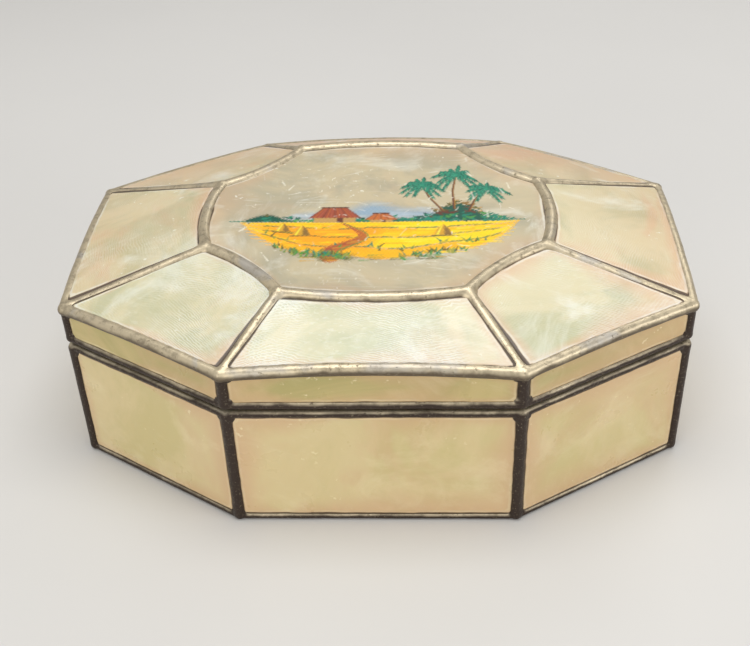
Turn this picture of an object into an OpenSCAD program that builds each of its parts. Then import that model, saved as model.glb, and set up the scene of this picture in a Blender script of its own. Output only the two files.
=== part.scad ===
/* [Octagon plan] */
// Length between the middles of the two end walls
box_len = 200; // [150:1:280]
// Depth between the middles of the front and back walls
box_dep = 140; // [110:1:200]
// Length of the front and back walls, corner to corner
front_len = 90; // [60:1:120]
// Length of the two end walls, corner to corner
end_len = 72; // [50:1:90]

/* [Heights] */
// Height of the body, table to the top of its rim
body_h = 46.4; // [30:0.1:80]
// Height of the lid's upright band, lower rim to the centre of the top rim
band_h = 14.2; // [11:0.1:30]
// Rise of the centre medallion above the top rim
crown_rise = 11.5; // [6:0.5:20]
// Rise of the top rim at the middle of the four long sides
long_arch = 2.2; // [0:0.1:4]
// Rise of the top rim at the middle of the four slanting sides
slant_arch = 0.8; // [0:0.1:3]

/* [Medallion] */
// Length of the medallion, corner to corner
medal_len = 110; // [90:1:130]
// Depth of the medallion, corner to corner
medal_dep = 90.8; // [76:1:100]
// Length of the medallion's front and back edges
medal_front = 58; // [40:1:70]
// Length of the medallion's two end edges
medal_end = 40; // [30:1:56]
// Outward bow of the medallion's four long edges
medal_bow = 3; // [0:0.5:5]
// Inward bow of the medallion's four slanting edges
medal_dip = 2.4; // [0:0.2:4]

/* [Shell panes] */
// Thickness of the shell panes
shell_t = 1.2; // [0.8:0.1:1.6]
// Clearance of a pane in its channel, each side
seat_gap = 0.05; // [0.02:0.01:0.1]
// Distance from the centre line of a came to the edge of the pane in it
web_half = 0.9; // [0.8:0.05:1]
// Depth of the channels in the body's rim and the lid's lower rim
groove = 1.2; // [0.8:0.1:1.4]
// Depth of the channel on top of the base came
base_groove = 0.8; // [0.5:0.05:0.8]
// Height of the floor pane's underside above the table
floor_z = 0.4; // [0.2:0.05:0.5]
// Distance from the middle of the walls to the edge of the floor pane
floor_inset = 0.45; // [0.3:0.05:0.7]

/* [Cames] */
// Width of the body's corner cames
post_w = 3.6; // [3.4:0.1:5]
// Width of the lid's corner cames
lid_post_w = 3.4; // [3.2:0.1:4.6]
// Diameter of the rounded came round the top of the lid
top_rim_d = 3.8; // [3.6:0.1:5]
// Diameter of the cames that run from the top rim to the medallion
rib_d = 3.2; // [2.8:0.1:4]
// Diameter of the came round the medallion
medal_came_d = 3.6; // [3.4:0.1:5]
// Width of the body's rim and of its base came
body_rim_w = 2.6; // [2.4:0.1:4]
// Height of the body's rim
body_rim_h = 3; // [2.4:0.1:5]
// Height of the base came
base_rim_h = 2.6; // [2.5:0.1:4]
// Width of the lid's lower rim
lid_rim_w = 2.8; // [2.4:0.1:4]
// Height of the lid's lower rim
lid_rim_h = 3.2; // [2.4:0.1:5]
// Gap between the closed lid's rim and the body's rim
lid_gap = 0.4; // [0.3:0.1:1]

/* [Hinge] */
// Outside diameter of the hinge tubes
knuckle_d = 3; // [2.8:0.1:4]
// Diameter of the hinge pin
pin_d = 1.6; // [1.2:0.1:1.8]
// Radial clearance of the lid's tube on the pin
pin_clear = 0.05; // [0.02:0.01:0.1]
// Length of each hinge tube
knuckle_len = 12; // [8:0.5:16]
// Gap between the ends of neighbouring tubes
knuckle_gap = 0.3; // [0.2:0.1:0.6]
// Gap between the tubes and the rims that turn past them
hinge_gap = 0.3; // [0.3:0.1:0.8]
// Reach of each tube's foot along its rim, from the pin's centre line
foot_reach = 2.6; // [2:0.1:2.9]
// Length of pin that shows at each end
pin_overhang = 0.6; // [0:0.1:2]

/* [Hidden] */
SIDES = ["front", "front_right", "right", "back_right",
         "back", "back_left", "left", "front_left"];
CORNERS = ["front_left", "front_right", "right_front", "right_back",
           "back_right", "back_left", "left_back", "left_front"];
SINGLES = ["floor_pane", "base_rim", "body_rim", "lid_lower_rim", "lid_top_rim",
           "medallion_came", "medallion_pane"];
HINGE = ["hinge_pin", "body_knuckle_left", "body_knuckle_right", "lid_knuckle"];

$fn = 48;
arc_steps = 8;
bead_sides = 12;
eps = 0.01;

shell_colour = [0.86, 0.83, 0.70];
came_colour = [0.36, 0.33, 0.29];
pin_colour = [0.62, 0.56, 0.42];

post_r = post_w / 2;
lid_post_r = lid_post_w / 2;
top_rim_r = top_rim_d / 2;
rib_r = rib_d / 2;
medal_came_r = medal_came_d / 2;
slot_t = shell_t + 2 * seat_gap;

wall_pane_z = base_rim_h - base_groove + seat_gap;
body_rim_z = body_h - body_rim_h;
lid_z = body_h + lid_gap;
lid_rim_top = lid_z + lid_rim_h;
top_z = lid_z + band_h;
medal_z = top_z + crown_rise;

knuckle_r = knuckle_d / 2;
pin_r = pin_d / 2;
bore_r = pin_r + pin_clear;
hinge_y = box_dep / 2 + lid_rim_w / 2 + hinge_gap + knuckle_r;
hinge_z = body_h + lid_gap / 2;
hinge_pitch = knuckle_len + knuckle_gap;
pin_len = 3 * knuckle_len + 2 * knuckle_gap + 2 * pin_overhang;
foot_z = lid_gap / 2;

// ---------- plan outlines ----------

// The eight corners of a symmetric octagon, anticlockwise from the front's left end
function octagon(len, dep, front, end) = [
    [-front / 2, -dep / 2], [front / 2, -dep / 2], [len / 2, -end / 2], [len / 2, end / 2],
    [front / 2, dep / 2], [-front / 2, dep / 2], [-len / 2, end / 2], [-len / 2, -end / 2]
];

wall_line = octagon(box_len, box_dep, front_len, end_len);
medal_line = octagon(medal_len, medal_dep, medal_front, medal_end);

function corner(i) = wall_line[i % 8];
function medal_corner(i) = medal_line[i % 8];
function unit(v) = v / norm(v);
function outward(a, b) = let (d = unit(b - a)) [d[1], -d[0]];

// Direction that moves a corner by one unit square to both of its edges
function mitre(before, at, after) =
    let (m = outward(before, at), n = outward(at, after)) (m + n) / (1 + m * n);

// A closed anticlockwise outline moved outwards by d
function grown(line, d) = [
    for (i = [0:len(line) - 1])
        let (k = len(line))
        line[i] + d * mitre(line[(i + k - 1) % k], line[i], line[(i + 1) % k])
];

// 0 at both ends of an edge and 1 at its middle
function bow(s) = 4 * s * (1 - s);
function long_side(i) = i % 2 == 0;
function arch(i) = long_side(i) ? long_arch : slant_arch;
function medal_swell(i) = long_side(i) ? medal_bow : -medal_dip;

// A point of the top rim's centre line, s from 0 to 1 along side i
function rim_point(i, s) =
    let (p = corner(i) + s * (corner(i + 1) - corner(i)))
    [p[0], p[1], top_z + arch(i) * bow(s)];

// A point of the medallion's centre line, s from 0 to 1 along edge i
function medal_point(i, s) =
    let (a = medal_corner(i), b = medal_corner(i + 1))
    a + s * (b - a) + medal_swell(i) * bow(s) * outward(a, b);

medal_outline = [for (i = [0:7]) for (k = [0:arc_steps - 1]) medal_point(i, k / arc_steps)];
rim_outline = [for (i = [0:7]) for (k = [0:arc_steps - 1]) rim_point(i, k / arc_steps)];

// ---------- shared shapes ----------

// A flat band that follows the octagon, w wide and h high
module band(w, h) {
    linear_extrude(height = h)
        difference() {
            polygon(grown(wall_line, w / 2));
            polygon(grown(wall_line, -w / 2));
        }
}

// A closed round bead along path, whose plan is anticlockwise
module closed_bead(path, r) {
    k = len(path);
    plan = [for (p = path) [p[0], p[1]]];
    out = [for (i = [0:k - 1]) mitre(plan[(i + k - 1) % k], plan[i], plan[(i + 1) % k])];
    points = [
        for (i = [0:k - 1]) for (j = [0:bead_sides - 1])
            let (a = 360 * j / bead_sides, q = out[i] * r * cos(a))
            path[i] + [q[0], q[1], r * sin(a)]
    ];
    faces = [
        for (i = [0:k - 1]) for (j = [0:bead_sides - 1])
            let (n = (i + 1) % k, m = (j + 1) % bead_sides)
            [i * bead_sides + j, i * bead_sides + m, n * bead_sides + m, n * bead_sides + j]
    ];
    polyhedron(points, faces, convexity = 6);
}

// A round bar from point a to point b
module rod(a, b, r) {
    d = b - a;
    translate(a)
        rotate([0, acos(d[2] / norm(d)), atan2(d[1], d[0])])
            cylinder(r = r, h = norm(d));
}

function side_len(i) = norm(corner(i + 1) - corner(i));

// Stands a flat outline in the wall plane of side i, x along the wall and y up
module on_wall(i, t) {
    a = corner(i);
    d = corner(i + 1) - a;
    translate([a[0], a[1], 0])
        rotate([0, 0, atan2(d[1], d[0])])
            rotate([90, 0, 0])
                translate([0, 0, -t / 2])
                    linear_extrude(height = t) children();
}

// Upright pane of the body's wall; grow widens it all round for its channels
module wall_pane_shape(i, t, grow) {
    on_wall(i, t)
        translate([web_half - grow, wall_pane_z - grow])
            square([
                side_len(i) - 2 * web_half + 2 * grow,
                body_rim_z + groove - seat_gap - wall_pane_z + 2 * grow
            ]);
}

// Upright pane of the lid's band, whose top edge follows the arch of the rim
module band_pane_shape(i, t, grow) {
    w = side_len(i);
    low = lid_rim_top - groove + seat_gap - grow;
    s0 = (web_half - grow) / w;
    top_edge = [
        for (k = [0:arc_steps])
            let (s = s0 + (1 - 2 * s0) * k / arc_steps)
            [s * w, top_z + arch(i) * bow(s) - web_half + grow]
    ];
    on_wall(i, t)
        polygon(concat([[w * (1 - s0), low], [s0 * w, low]], top_edge));
}

// Sloping pane of side i: straight from rim to medallion, curved along both of those edges
module top_pane_shape(i, t, grow) {
    up = unit(cross(
        rim_point(i, 1) - rim_point(i, 0),
        concat(medal_point(i, 0.5), [medal_z]) - rim_point(i, 0.5)
    ));
    edge = web_half - grow;
    mid = [
        for (k = [0:arc_steps]) for (end = [0, 1])
            let (
                full = k / arc_steps,
                w = end == 0 ? side_len(i) : norm(medal_corner(i + 1) - medal_corner(i)),
                s = edge / w + (1 - 2 * edge / w) * full,
                a = rim_point(i, s),
                b = concat(medal_point(i, s), [medal_z]),
                run = norm(b - a)
            )
            end == 0 ? a + (b - a) * edge / run : b - (b - a) * edge / run
    ];
    n = len(mid);
    points = concat([for (p = mid) p + up * t / 2], [for (p = mid) p - up * t / 2]);
    quads = [
        for (k = [0:arc_steps - 1])
            let (a = 2 * k, b = 2 * k + 1, c = 2 * k + 3, d = 2 * k + 2)
            each [
                [a, b, c], [a, c, d],
                [n + a, n + c, n + b], [n + a, n + d, n + c],
                [a, d, n + a], [d, n + d, n + a],
                [b, n + b, c], [c, n + b, n + c]
            ]
    ];
    last = n - 2;
    ends = [
        [0, n, 1], [1, n, n + 1],
        [last, last + 1, n + last], [last + 1, n + last + 1, n + last]
    ];
    polyhedron(points, concat(quads, ends), convexity = 4);
}

module medal_pane_shape(t, grow) {
    translate([0, 0, medal_z - t / 2])
        linear_extrude(height = t)
            polygon(grown(medal_outline, grow - web_half));
}

module top_rim_shape(grow) {
    closed_bead(rim_outline, top_rim_r + grow);
}

module medal_came_shape(grow) {
    closed_bead([for (p = medal_outline) [p[0], p[1], medal_z]], medal_came_r + grow);
}

// ---------- body ----------

module floor_pane() {
    color(shell_colour)
        translate([0, 0, floor_z])
            linear_extrude(height = shell_t)
                polygon(grown(wall_line, -floor_inset));
}

module base_rim() {
    color(came_colour)
        difference() {
            band(body_rim_w, base_rim_h);
            translate([0, 0, base_rim_h - base_groove])
                band(slot_t, base_groove + eps);
            translate([0, 0, floor_z - seat_gap])
                linear_extrude(height = slot_t)
                    polygon(grown(wall_line, seat_gap - floor_inset));
        }
}

module body_rim() {
    color(came_colour)
        difference() {
            translate([0, 0, body_rim_z])
                band(body_rim_w, body_rim_h);
            translate([0, 0, body_rim_z - eps])
                band(slot_t, groove + eps);
        }
}

module wall_pane(i) {
    color(shell_colour)
        wall_pane_shape(i, shell_t, 0);
}

module body_post(i) {
    color(came_colour)
        difference() {
            translate([corner(i)[0], corner(i)[1], base_rim_h])
                cylinder(r = post_r, h = body_rim_z - base_rim_h);
            wall_pane_shape(i, slot_t, seat_gap);
            wall_pane_shape((i + 7) % 8, slot_t, seat_gap);
        }
}

// ---------- lid ----------

module lid_lower_rim() {
    color(came_colour)
        difference() {
            translate([0, 0, lid_z])
                band(lid_rim_w, lid_rim_h);
            translate([0, 0, lid_rim_top - groove])
                band(slot_t, groove + eps);
        }
}

module lid_top_rim() {
    color(came_colour)
        difference() {
            top_rim_shape(0);
            for (i = [0:7]) {
                band_pane_shape(i, slot_t, seat_gap);
                top_pane_shape(i, slot_t, seat_gap);
            }
        }
}

module band_pane(i) {
    color(shell_colour)
        band_pane_shape(i, shell_t, 0);
}

module lid_post(i) {
    color(came_colour)
        difference() {
            translate([corner(i)[0], corner(i)[1], lid_rim_top])
                cylinder(r = lid_post_r, h = top_z - lid_rim_top);
            top_rim_shape(seat_gap);
            band_pane_shape(i, slot_t, seat_gap);
            band_pane_shape((i + 7) % 8, slot_t, seat_gap);
        }
}

module top_pane(i) {
    color(shell_colour)
        top_pane_shape(i, shell_t, 0);
}

module rib(i) {
    low = concat(corner(i), [top_z]);
    high = concat(medal_corner(i), [medal_z]);
    color(came_colour)
        difference() {
            rod(low, high, rib_r);
            top_rim_shape(seat_gap);
            medal_came_shape(seat_gap);
            top_pane_shape(i, slot_t, seat_gap);
            top_pane_shape((i + 7) % 8, slot_t, seat_gap);
        }
}

module medallion_came() {
    color(came_colour)
        difference() {
            medal_came_shape(0);
            medal_pane_shape(slot_t, seat_gap);
            for (i = [0:7])
                top_pane_shape(i, slot_t, seat_gap);
        }
}

module medallion_pane() {
    color(shell_colour)
        medal_pane_shape(shell_t, 0);
}

// ---------- hinge ----------

// A tube on the hinge axis, with its foot on the rim; side is 1 for the lid and -1 for the body
module knuckle(x, side, rim_w) {
    foot_y = box_dep / 2 + rim_w / 2;
    color(came_colour)
        translate([x - knuckle_len / 2, 0, hinge_z])
            difference() {
                union() {
                    translate([0, hinge_y, 0])
                        rotate([0, 90, 0])
                            cylinder(r = knuckle_r, h = knuckle_len);
                    translate([0, foot_y, side > 0 ? foot_z : -foot_reach])
                        cube([knuckle_len, hinge_y - foot_y, foot_reach - foot_z]);
                }
                translate([-eps, hinge_y, 0])
                    rotate([0, 90, 0])
                        cylinder(r = bore_r, h = knuckle_len + 2 * eps);
            }
}

module hinge_pin() {
    color(pin_colour)
        translate([-pin_len / 2, hinge_y, hinge_z])
            rotate([0, 90, 0])
                cylinder(r = pin_r, h = pin_len);
}

floor_pane();
base_rim();
body_rim();
lid_lower_rim();
lid_top_rim();
medallion_came();
medallion_pane();
hinge_pin();
knuckle(-hinge_pitch, -1, body_rim_w);  // body_knuckle_left
knuckle(hinge_pitch, -1, body_rim_w);  // body_knuckle_right
knuckle(0, 1, lid_rim_w);  // lid_knuckle
for (i = [0:7]) {
    wall_pane(i);
    body_post(i);
    band_pane(i);
    lid_post(i);
    top_pane(i);
    rib(i);
}
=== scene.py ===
"""Looks of the shell-pane trinket box: solder cames, shell panes, the painted medallion and the stage."""
import json
import math

import bpy
import numpy as np
from mathutils import Matrix, Vector, noise


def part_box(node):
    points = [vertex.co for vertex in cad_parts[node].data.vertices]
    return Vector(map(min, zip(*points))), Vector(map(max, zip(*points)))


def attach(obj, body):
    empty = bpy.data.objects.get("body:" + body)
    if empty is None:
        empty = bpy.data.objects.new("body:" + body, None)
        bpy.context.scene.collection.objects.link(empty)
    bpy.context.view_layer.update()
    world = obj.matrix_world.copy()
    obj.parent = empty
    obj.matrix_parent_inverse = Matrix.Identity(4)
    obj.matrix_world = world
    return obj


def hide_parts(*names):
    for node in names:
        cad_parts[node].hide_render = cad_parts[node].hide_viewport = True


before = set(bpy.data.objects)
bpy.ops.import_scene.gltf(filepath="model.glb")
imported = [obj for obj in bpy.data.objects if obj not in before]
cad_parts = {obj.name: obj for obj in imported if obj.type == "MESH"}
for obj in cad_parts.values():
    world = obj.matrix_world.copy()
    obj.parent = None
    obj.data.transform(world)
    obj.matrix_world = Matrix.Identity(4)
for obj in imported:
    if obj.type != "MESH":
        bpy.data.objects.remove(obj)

bl_info = {
    "name": "Shell pane box",
    "version": (1, 0, 0),
    "blender": (4, 5, 0),
    "location": "View3D > Sidebar > Shell box",
    "description": "Builds the solder cames, shell panes and painted medallion of an eight-sided box",
    "category": "Object",
}

MM = 0.001
UP = Vector((0, 0, 1))
# A height or place in metres that nothing on the box reaches
FAR_BELOW = -1.0
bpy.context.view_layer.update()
SIDES = ("front", "front_right", "right", "back_right", "back", "back_left", "left", "front_left")
CORNERS = ("front_left", "front_right", "right_front", "right_back",
           "back_right", "back_left", "left_back", "left_front")


# ---------- places read from the frame ----------

def middle(node):
    low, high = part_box(node)
    return (low + high) / 2


def top_of(node):
    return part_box(node)[1].z


def bottom_of(node):
    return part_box(node)[0].z


HALF_LEN = middle("wall_pane_right").x
HALF_DEP = middle("wall_pane_back").y
HALF_FRONT = middle("body_post_front_right").x
HALF_END = middle("body_post_right_back").y
SHELL_T = top_of("floor_pane") - bottom_of("floor_pane")
BODY_RIM_Z = middle("body_rim").z
LID_RIM_Z = middle("lid_lower_rim").z
TOP_RIM_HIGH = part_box("lid_top_rim")[1]
TOP_RIM_R = TOP_RIM_HIGH.y - HALF_DEP
MEDAL_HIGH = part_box("medallion_came")[1]
MEDAL_Z = middle("medallion_came").z
MEDAL_R = MEDAL_HIGH.z - MEDAL_Z


# ---------- sizes and colours that a user may change ----------

def length(name, default, description):
    return bpy.props.FloatProperty(
        name=name, default=default, description=description, unit="LENGTH", precision=5)


def share(name, default, description):
    return bpy.props.FloatProperty(
        name=name, default=default, description=description, subtype="FACTOR", min=0, max=1)


def colour(name, default, description):
    return bpy.props.FloatVectorProperty(
        name=name, default=default, description=description, subtype="COLOR", size=3, min=0, max=1)


class LidShape(bpy.types.PropertyGroup):
    """The curves of the lid's plan and rim"""
    long_arch: length("Long arch", 2.2 * MM, "Rise of the top rim at the middle of the long sides")
    slant_arch: length("Slant arch", 0.8 * MM, "Rise of the top rim at the middle of the slanting sides")
    medal_bow: length("Medallion bow", 3.0 * MM, "Outward bow of the medallion's long edges")
    medal_dip: length("Medallion dip", 2.4 * MM, "Inward bow of the medallion's slanting edges")
    medal_front: length("Medallion front", 58 * MM, "Length of the medallion's front and back edges")
    medal_end: length("Medallion end", 40 * MM, "Length of the medallion's end edges")


class CameSizes(bpy.types.PropertyGroup):
    """Sizes of the solder cames"""
    base_r: length("Base came", 1.25 * MM, "Radius of the came round the bottom edge")
    body_rim_r: length("Body rim", 1.35 * MM, "Radius of the came along the body's top edge")
    lid_rim_r: length("Lid rim", 1.45 * MM, "Radius of the came along the lid's lower edge")
    post_r: length("Corner came", 1.95 * MM, "Radius of the body's corner cames")
    lid_post_r: length("Lid corner came", 1.85 * MM, "Radius of the lid's corner cames")
    top_rim_r: length("Top rim", TOP_RIM_R + 0.2 * MM, "Radius of the came round the top")
    rib_r: length("Rib", 1.85 * MM, "Radius of the cames between rim and medallion")
    medal_r: length("Medallion came", MEDAL_R + 0.3 * MM, "Radius of the came round the medallion")
    rim_drop: length("Rim drop", 1.1 * MM, "How far the top rim's bead hangs below the panes' edge line")
    medal_sunk: length("Medallion came drop", 0.25 * MM, "How far the medallion's bead sits below its pane")
    post_in: length("Corner inset", 0.35 * MM, "From a corner to its came's centre line")
    lid_post_in: length("Lid corner inset", 0.3 * MM, "From a corner to the lid's corner came's centre line")
    pool: length("Solder pool", 1.25 * MM, "Radius of the solder pooled in each inside corner")
    joint: share("Joint swell", 0.12, "How much fatter a joint is than the cames that meet there")
    wobble: length("Wobble", 0.14 * MM, "Unevenness of the hand-run beads")
    pimple: length("Pimple", 0.05 * MM, "Height of the small bumps in the solder")
    step: length("Step", 1.5 * MM, "Distance between the rings of a bead")
    body_voxel: length("Body grid", 0.45 * MM, "Grid that the body's beads are fused on")
    band_voxel: length("Lid band grid", 0.38 * MM, "Grid that the lid's lower beads are fused on")
    top_voxel: length("Lid top grid", 0.5 * MM, "Grid that the lid's upper beads are fused on")
    hinge_voxel: length("Hinge grid", 0.25 * MM, "Grid that the hinge's solder is fused on")


class ShellSizes(bpy.types.PropertyGroup):
    """Sizes of the shell panes"""
    over_rim: length("Over the rim", 0.2 * MM, "From a sloping pane's edge to the top rim's centre line")
    rim_seen: length("Rim edge", 1.25 * MM, "How much sooner a sloping pane shows beside the top rim")
    under_came: length("Under the came", 0.9 * MM, "From a pane's edge to its came's centre line")
    ripple: length("Ripple", 0.10 * MM, "Unevenness of the shell's surface")
    cell: length("Grid", 1.6 * MM, "Grid size of the pane meshes")
    paint_cell: length("Paint grid", 0.34 * MM, "Grid size where the medallion is painted")


class Colours(bpy.types.PropertyGroup):
    """Main colours of the box"""
    wall: colour("Wall shell", (0.69, 0.56, 0.30), "Khaki cream of the upright panes")
    wall_tint: colour("Wall tint", (0.61, 0.51, 0.24), "Olive tint in the thick middle of a pane")
    # Cream is also the colour of the painted highlight along the upright panes' borders
    cream: colour("Cream", (0.86, 0.75, 0.48), "Thin, bright parts of the upright panes")
    # The band's colours are a more olive shell, and also darker as painted shade under the lid's top rim
    band: colour("Band shell", (0.56, 0.46, 0.20), "Ochre of the lid's upright panes")
    band_tint: colour("Band tint", (0.44, 0.39, 0.15), "Olive tint of the lid's upright panes")
    top: colour("Top shell", (0.63, 0.57, 0.35), "Cream of the sloping panes")
    top_tint: colour("Top tint", (0.43, 0.44, 0.25), "Sea green tint of the sloping panes")
    medal: colour("Medallion shell", (0.54, 0.46, 0.30), "Grey cream of the medallion")
    medal_tint: colour("Medallion tint", (0.41, 0.37, 0.26), "Darker clouds in the medallion")
    peach: colour("Peach", (0.64, 0.39, 0.23), "Pink tint towards the edges of the shell")
    # Pearl is also the colour of the painted sheen on the sloping panes and of the painted highlight along
    # pane borders
    pearl: colour("Pearl", (0.83, 0.84, 0.76), "White bloom and flecks in the shell")
    # Pewter, patina and bronze are laid on the solder by the way it faces: the pale crowns are also a
    # painted highlight, the brown sides also painted shade
    pewter: colour("Pewter", (0.62, 0.53, 0.37), "Solder where it has been rubbed")
    patina: colour("Patina", (0.034, 0.020, 0.013), "Solder where it has gone brown")
    bronze: colour("Bronze", (0.125, 0.095, 0.060), "Brown sides of the top cames")
    oxide: colour("Oxide", (0.36, 0.38, 0.42), "Bluish grey bloom at the joints")
    brass: colour("Hinge wire", (0.46, 0.33, 0.16), "Dull brass of the hinge pin")
    floor: colour("Floor", (0.66, 0.65, 0.63), "The studio floor")


GROUPS = (("box_lid", LidShape), ("box_cames", CameSizes), ("box_shell", ShellSizes),
          ("box_colours", Colours))


def lid():
    return bpy.context.scene.box_lid


def cames():
    return bpy.context.scene.box_cames


def shell():
    return bpy.context.scene.box_shell


def colours():
    return bpy.context.scene.box_colours


# ---------- plan of the box ----------

def octagon(half_len, half_dep, half_front, half_end):
    """Eight corners anticlockwise, from the front's left end"""
    return [Vector(p) for p in (
        (-half_front, -half_dep), (half_front, -half_dep), (half_len, -half_end), (half_len, half_end),
        (half_front, half_dep), (-half_front, half_dep), (-half_len, half_end), (-half_len, -half_end))]


def wall_corner(i):
    return octagon(HALF_LEN, HALF_DEP, HALF_FRONT, HALF_END)[i % 8]


def medal_corner(i):
    shape = lid()
    reach = shape.medal_bow + MEDAL_R
    corners = octagon(MEDAL_HIGH.x - reach, MEDAL_HIGH.y - reach, shape.medal_front / 2, shape.medal_end / 2)
    return corners[i % 8]


def outward(a, b):
    """The way out of the plan from its edge a to b"""
    d = (b - a).normalized()
    return Vector((d.y, -d.x))


def bow(s):
    """0 at both ends of an edge and 1 in its middle"""
    return 4 * s * (1 - s)


def top_z():
    """Height of the top rim's centre line at the corners"""
    return TOP_RIM_HIGH.z - TOP_RIM_R - lid().long_arch


def rim_point(i, s):
    """Centre line of the lid's top rim, s from 0 to 1 along side i"""
    a, b = wall_corner(i), wall_corner(i + 1)
    rise = lid().long_arch if i % 2 == 0 else lid().slant_arch
    return (a + (b - a) * s).to_3d() + Vector((0, 0, top_z() + rise * bow(s)))


def medal_point(i, s):
    """Centre line of the medallion's came, s from 0 to 1 along edge i"""
    a, b = medal_corner(i), medal_corner(i + 1)
    swell = lid().medal_bow if i % 2 == 0 else -lid().medal_dip
    p = a + (b - a) * s + outward(a, b) * swell * bow(s)
    return Vector((p.x, p.y, MEDAL_Z))


def at_height(p, z):
    return Vector((p.x, p.y, z))


# ---------- small helpers for meshes ----------

def remove(obj):
    data = obj.data
    bpy.data.objects.remove(obj)
    if data.users == 0:
        bpy.data.meshes.remove(data)


def new_object(name, verts, faces, edges=()):
    mesh = bpy.data.meshes.new(name)
    mesh.from_pydata([tuple(v) for v in verts], [tuple(e) for e in edges], [tuple(f) for f in faces])
    mesh.validate()
    obj = bpy.data.objects.new(name, mesh)
    bpy.context.scene.collection.objects.link(obj)
    return obj


def set_floats(mesh, name, values):
    layer = mesh.attributes.new(name, "FLOAT", "POINT")
    layer.data.foreach_set("value", np.asarray(values, dtype=np.float32))


def baked(obj, name):
    """A plain mesh object with obj's modifiers applied; obj goes"""
    graph = bpy.context.evaluated_depsgraph_get()
    mesh = bpy.data.meshes.new_from_object(obj.evaluated_get(graph), depsgraph=graph)
    mesh.name = name
    obj.modifiers.clear()
    remove(obj)
    piece = bpy.data.objects.new(name, mesh)
    bpy.context.scene.collection.objects.link(piece)
    return piece


def finish_piece(obj, body, material, nodes):
    """Gives a finished piece its material and body, and hides the CAD nodes it stands for"""
    obj.data.materials.clear()
    obj.data.materials.append(material)
    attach(obj, body)
    if nodes:
        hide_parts(*nodes)


# ---------- node helpers ----------

class Tree:
    """Short hand for building one node tree"""

    def __init__(self, tree):
        self.tree = tree
        self.nodes = tree.nodes

    def add(self, kind, **settings):
        node = self.nodes.new(kind)
        for key, value in settings.items():
            setattr(node, key, value)
        return node

    def put(self, socket, value):
        """Links an output to a socket, or sets the socket's own value"""
        if hasattr(value, "is_output"):
            self.tree.links.new(value, socket)
        else:
            socket.default_value = value

    def fed(self, node, **values):
        """Fills a node's inputs by name, with _ for a space, and gives its outputs"""
        for key, value in values.items():
            self.put(node.inputs[key.replace("_", " ")], value)
        return node.outputs

    def maths(self, kind, a, b, clamp=False):
        node = self.add("ShaderNodeMath", operation=kind, use_clamp=clamp)
        self.put(node.inputs[0], a)
        self.put(node.inputs[1], b)
        return node.outputs[0]

    def plus(self, a, b, clamp=False):
        return self.maths("ADD", a, b, clamp)

    def minus(self, a, b):
        return self.maths("SUBTRACT", a, b)

    def times(self, a, b, clamp=False):
        return self.maths("MULTIPLY", a, b, clamp)

    def most(self, a, b, clamp=False):
        return self.maths("MAXIMUM", a, b, clamp)

    def vectors(self, kind, a, b):
        """Vector maths; b is a number when the kind is SCALE"""
        node = self.add("ShaderNodeVectorMath", operation=kind)
        self.put(node.inputs[0], a)
        self.put(node.inputs["Scale" if kind == "SCALE" else 1], b)
        return node.outputs[0]

    def mix(self, factor, a, b):
        node = self.add("ShaderNodeMix", data_type="RGBA")
        self.put(node.inputs["Factor"], factor)
        self.put(node.inputs[6], a)
        self.put(node.inputs[7], b)
        return node.outputs[2]

    def ramp(self, value, low, high, to_low=0.0, to_high=1.0, kind="SMOOTHSTEP"):
        """A soft step: to_low where value is under low, to_high where it is over high"""
        node = self.add("ShaderNodeMapRange", interpolation_type=kind)
        made = self.fed(node, Value=value, From_Min=low, From_Max=high, To_Min=to_low, To_Max=to_high)
        return made["Result"]

    def noise(self, vector, scale, detail=3.0, rough=0.5, distortion=0.0):
        node = self.add("ShaderNodeTexNoise")
        return self.fed(node, Vector=vector, Scale=scale, Detail=detail, Roughness=rough,
                        Distortion=distortion)["Fac"]

    def turned(self, vector, angle, stretch=1.0):
        """A vector turned about z, and scaled along x"""
        node = self.add("ShaderNodeMapping")
        return self.fed(node, Vector=vector, Rotation=(0, 0, angle), Scale=(stretch, 1, 1))[0]

    def bump(self, height, distance, strength):
        node = self.add("ShaderNodeBump")
        return self.fed(node, Height=height, Distance=distance, Strength=strength)["Normal"]

    def attribute(self, name, output="Fac"):
        return self.add("ShaderNodeAttribute", attribute_name=name).outputs[output]

    def group(self, build, **values):
        """Places a node group, which is built the first time that it is asked for"""
        tree = bpy.data.node_groups.get(build.__name__) or build()
        return self.fed(self.add("ShaderNodeGroup", node_tree=tree), **values)


def rgba(rgb):
    return (rgb[0], rgb[1], rgb[2], 1.0)


def socket(tree, way, kind, label, default=None):
    made = tree.interface.new_socket(label, in_out=way, socket_type="NodeSocket" + kind)
    if default is not None:
        made.default_value = default
    return made


def group_tree(name, inputs, outputs):
    """Inputs and outputs are rows of kind, label and, if it has one, default"""
    tree = bpy.data.node_groups.new(name, "ShaderNodeTree")
    for row in inputs:
        socket(tree, "INPUT", *row)
    for row in outputs:
        socket(tree, "OUTPUT", *row)
    s = Tree(tree)
    return tree, s, s.add("NodeGroupInput").outputs, s.add("NodeGroupOutput").inputs


# ---------- finishes that materials share ----------

def hair_scratches():
    """Fine hair scratches: thin lines of stretched noise, in three directions"""
    tree, s, given, out = group_tree(
        "hair_scratches",
        [("Vector", "Place"), ("Float", "Scale", 60.0), ("Float", "Amount", 0.5)],
        [("Float", "Mask")])
    total = 0.0
    for turn, stretch in ((0.5, 0.12), (2.2, 0.2), (1.3, 0.15)):
        grain = s.turned(given["Place"], turn, stretch)
        lines = s.noise(grain, given["Scale"], detail=2.0, rough=0.5, distortion=0.6)
        off_line = s.maths("ABSOLUTE", s.minus(lines, 0.5), 0.0)
        total = s.most(total, s.ramp(off_line, 0.0, 0.007, 1.0, 0.0))
    patches = s.ramp(s.noise(given["Place"], scale=90.0, detail=2.0), 0.5, 0.68)
    s.put(out["Mask"], s.times(s.times(total, patches), given["Amount"]))
    return tree


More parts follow.
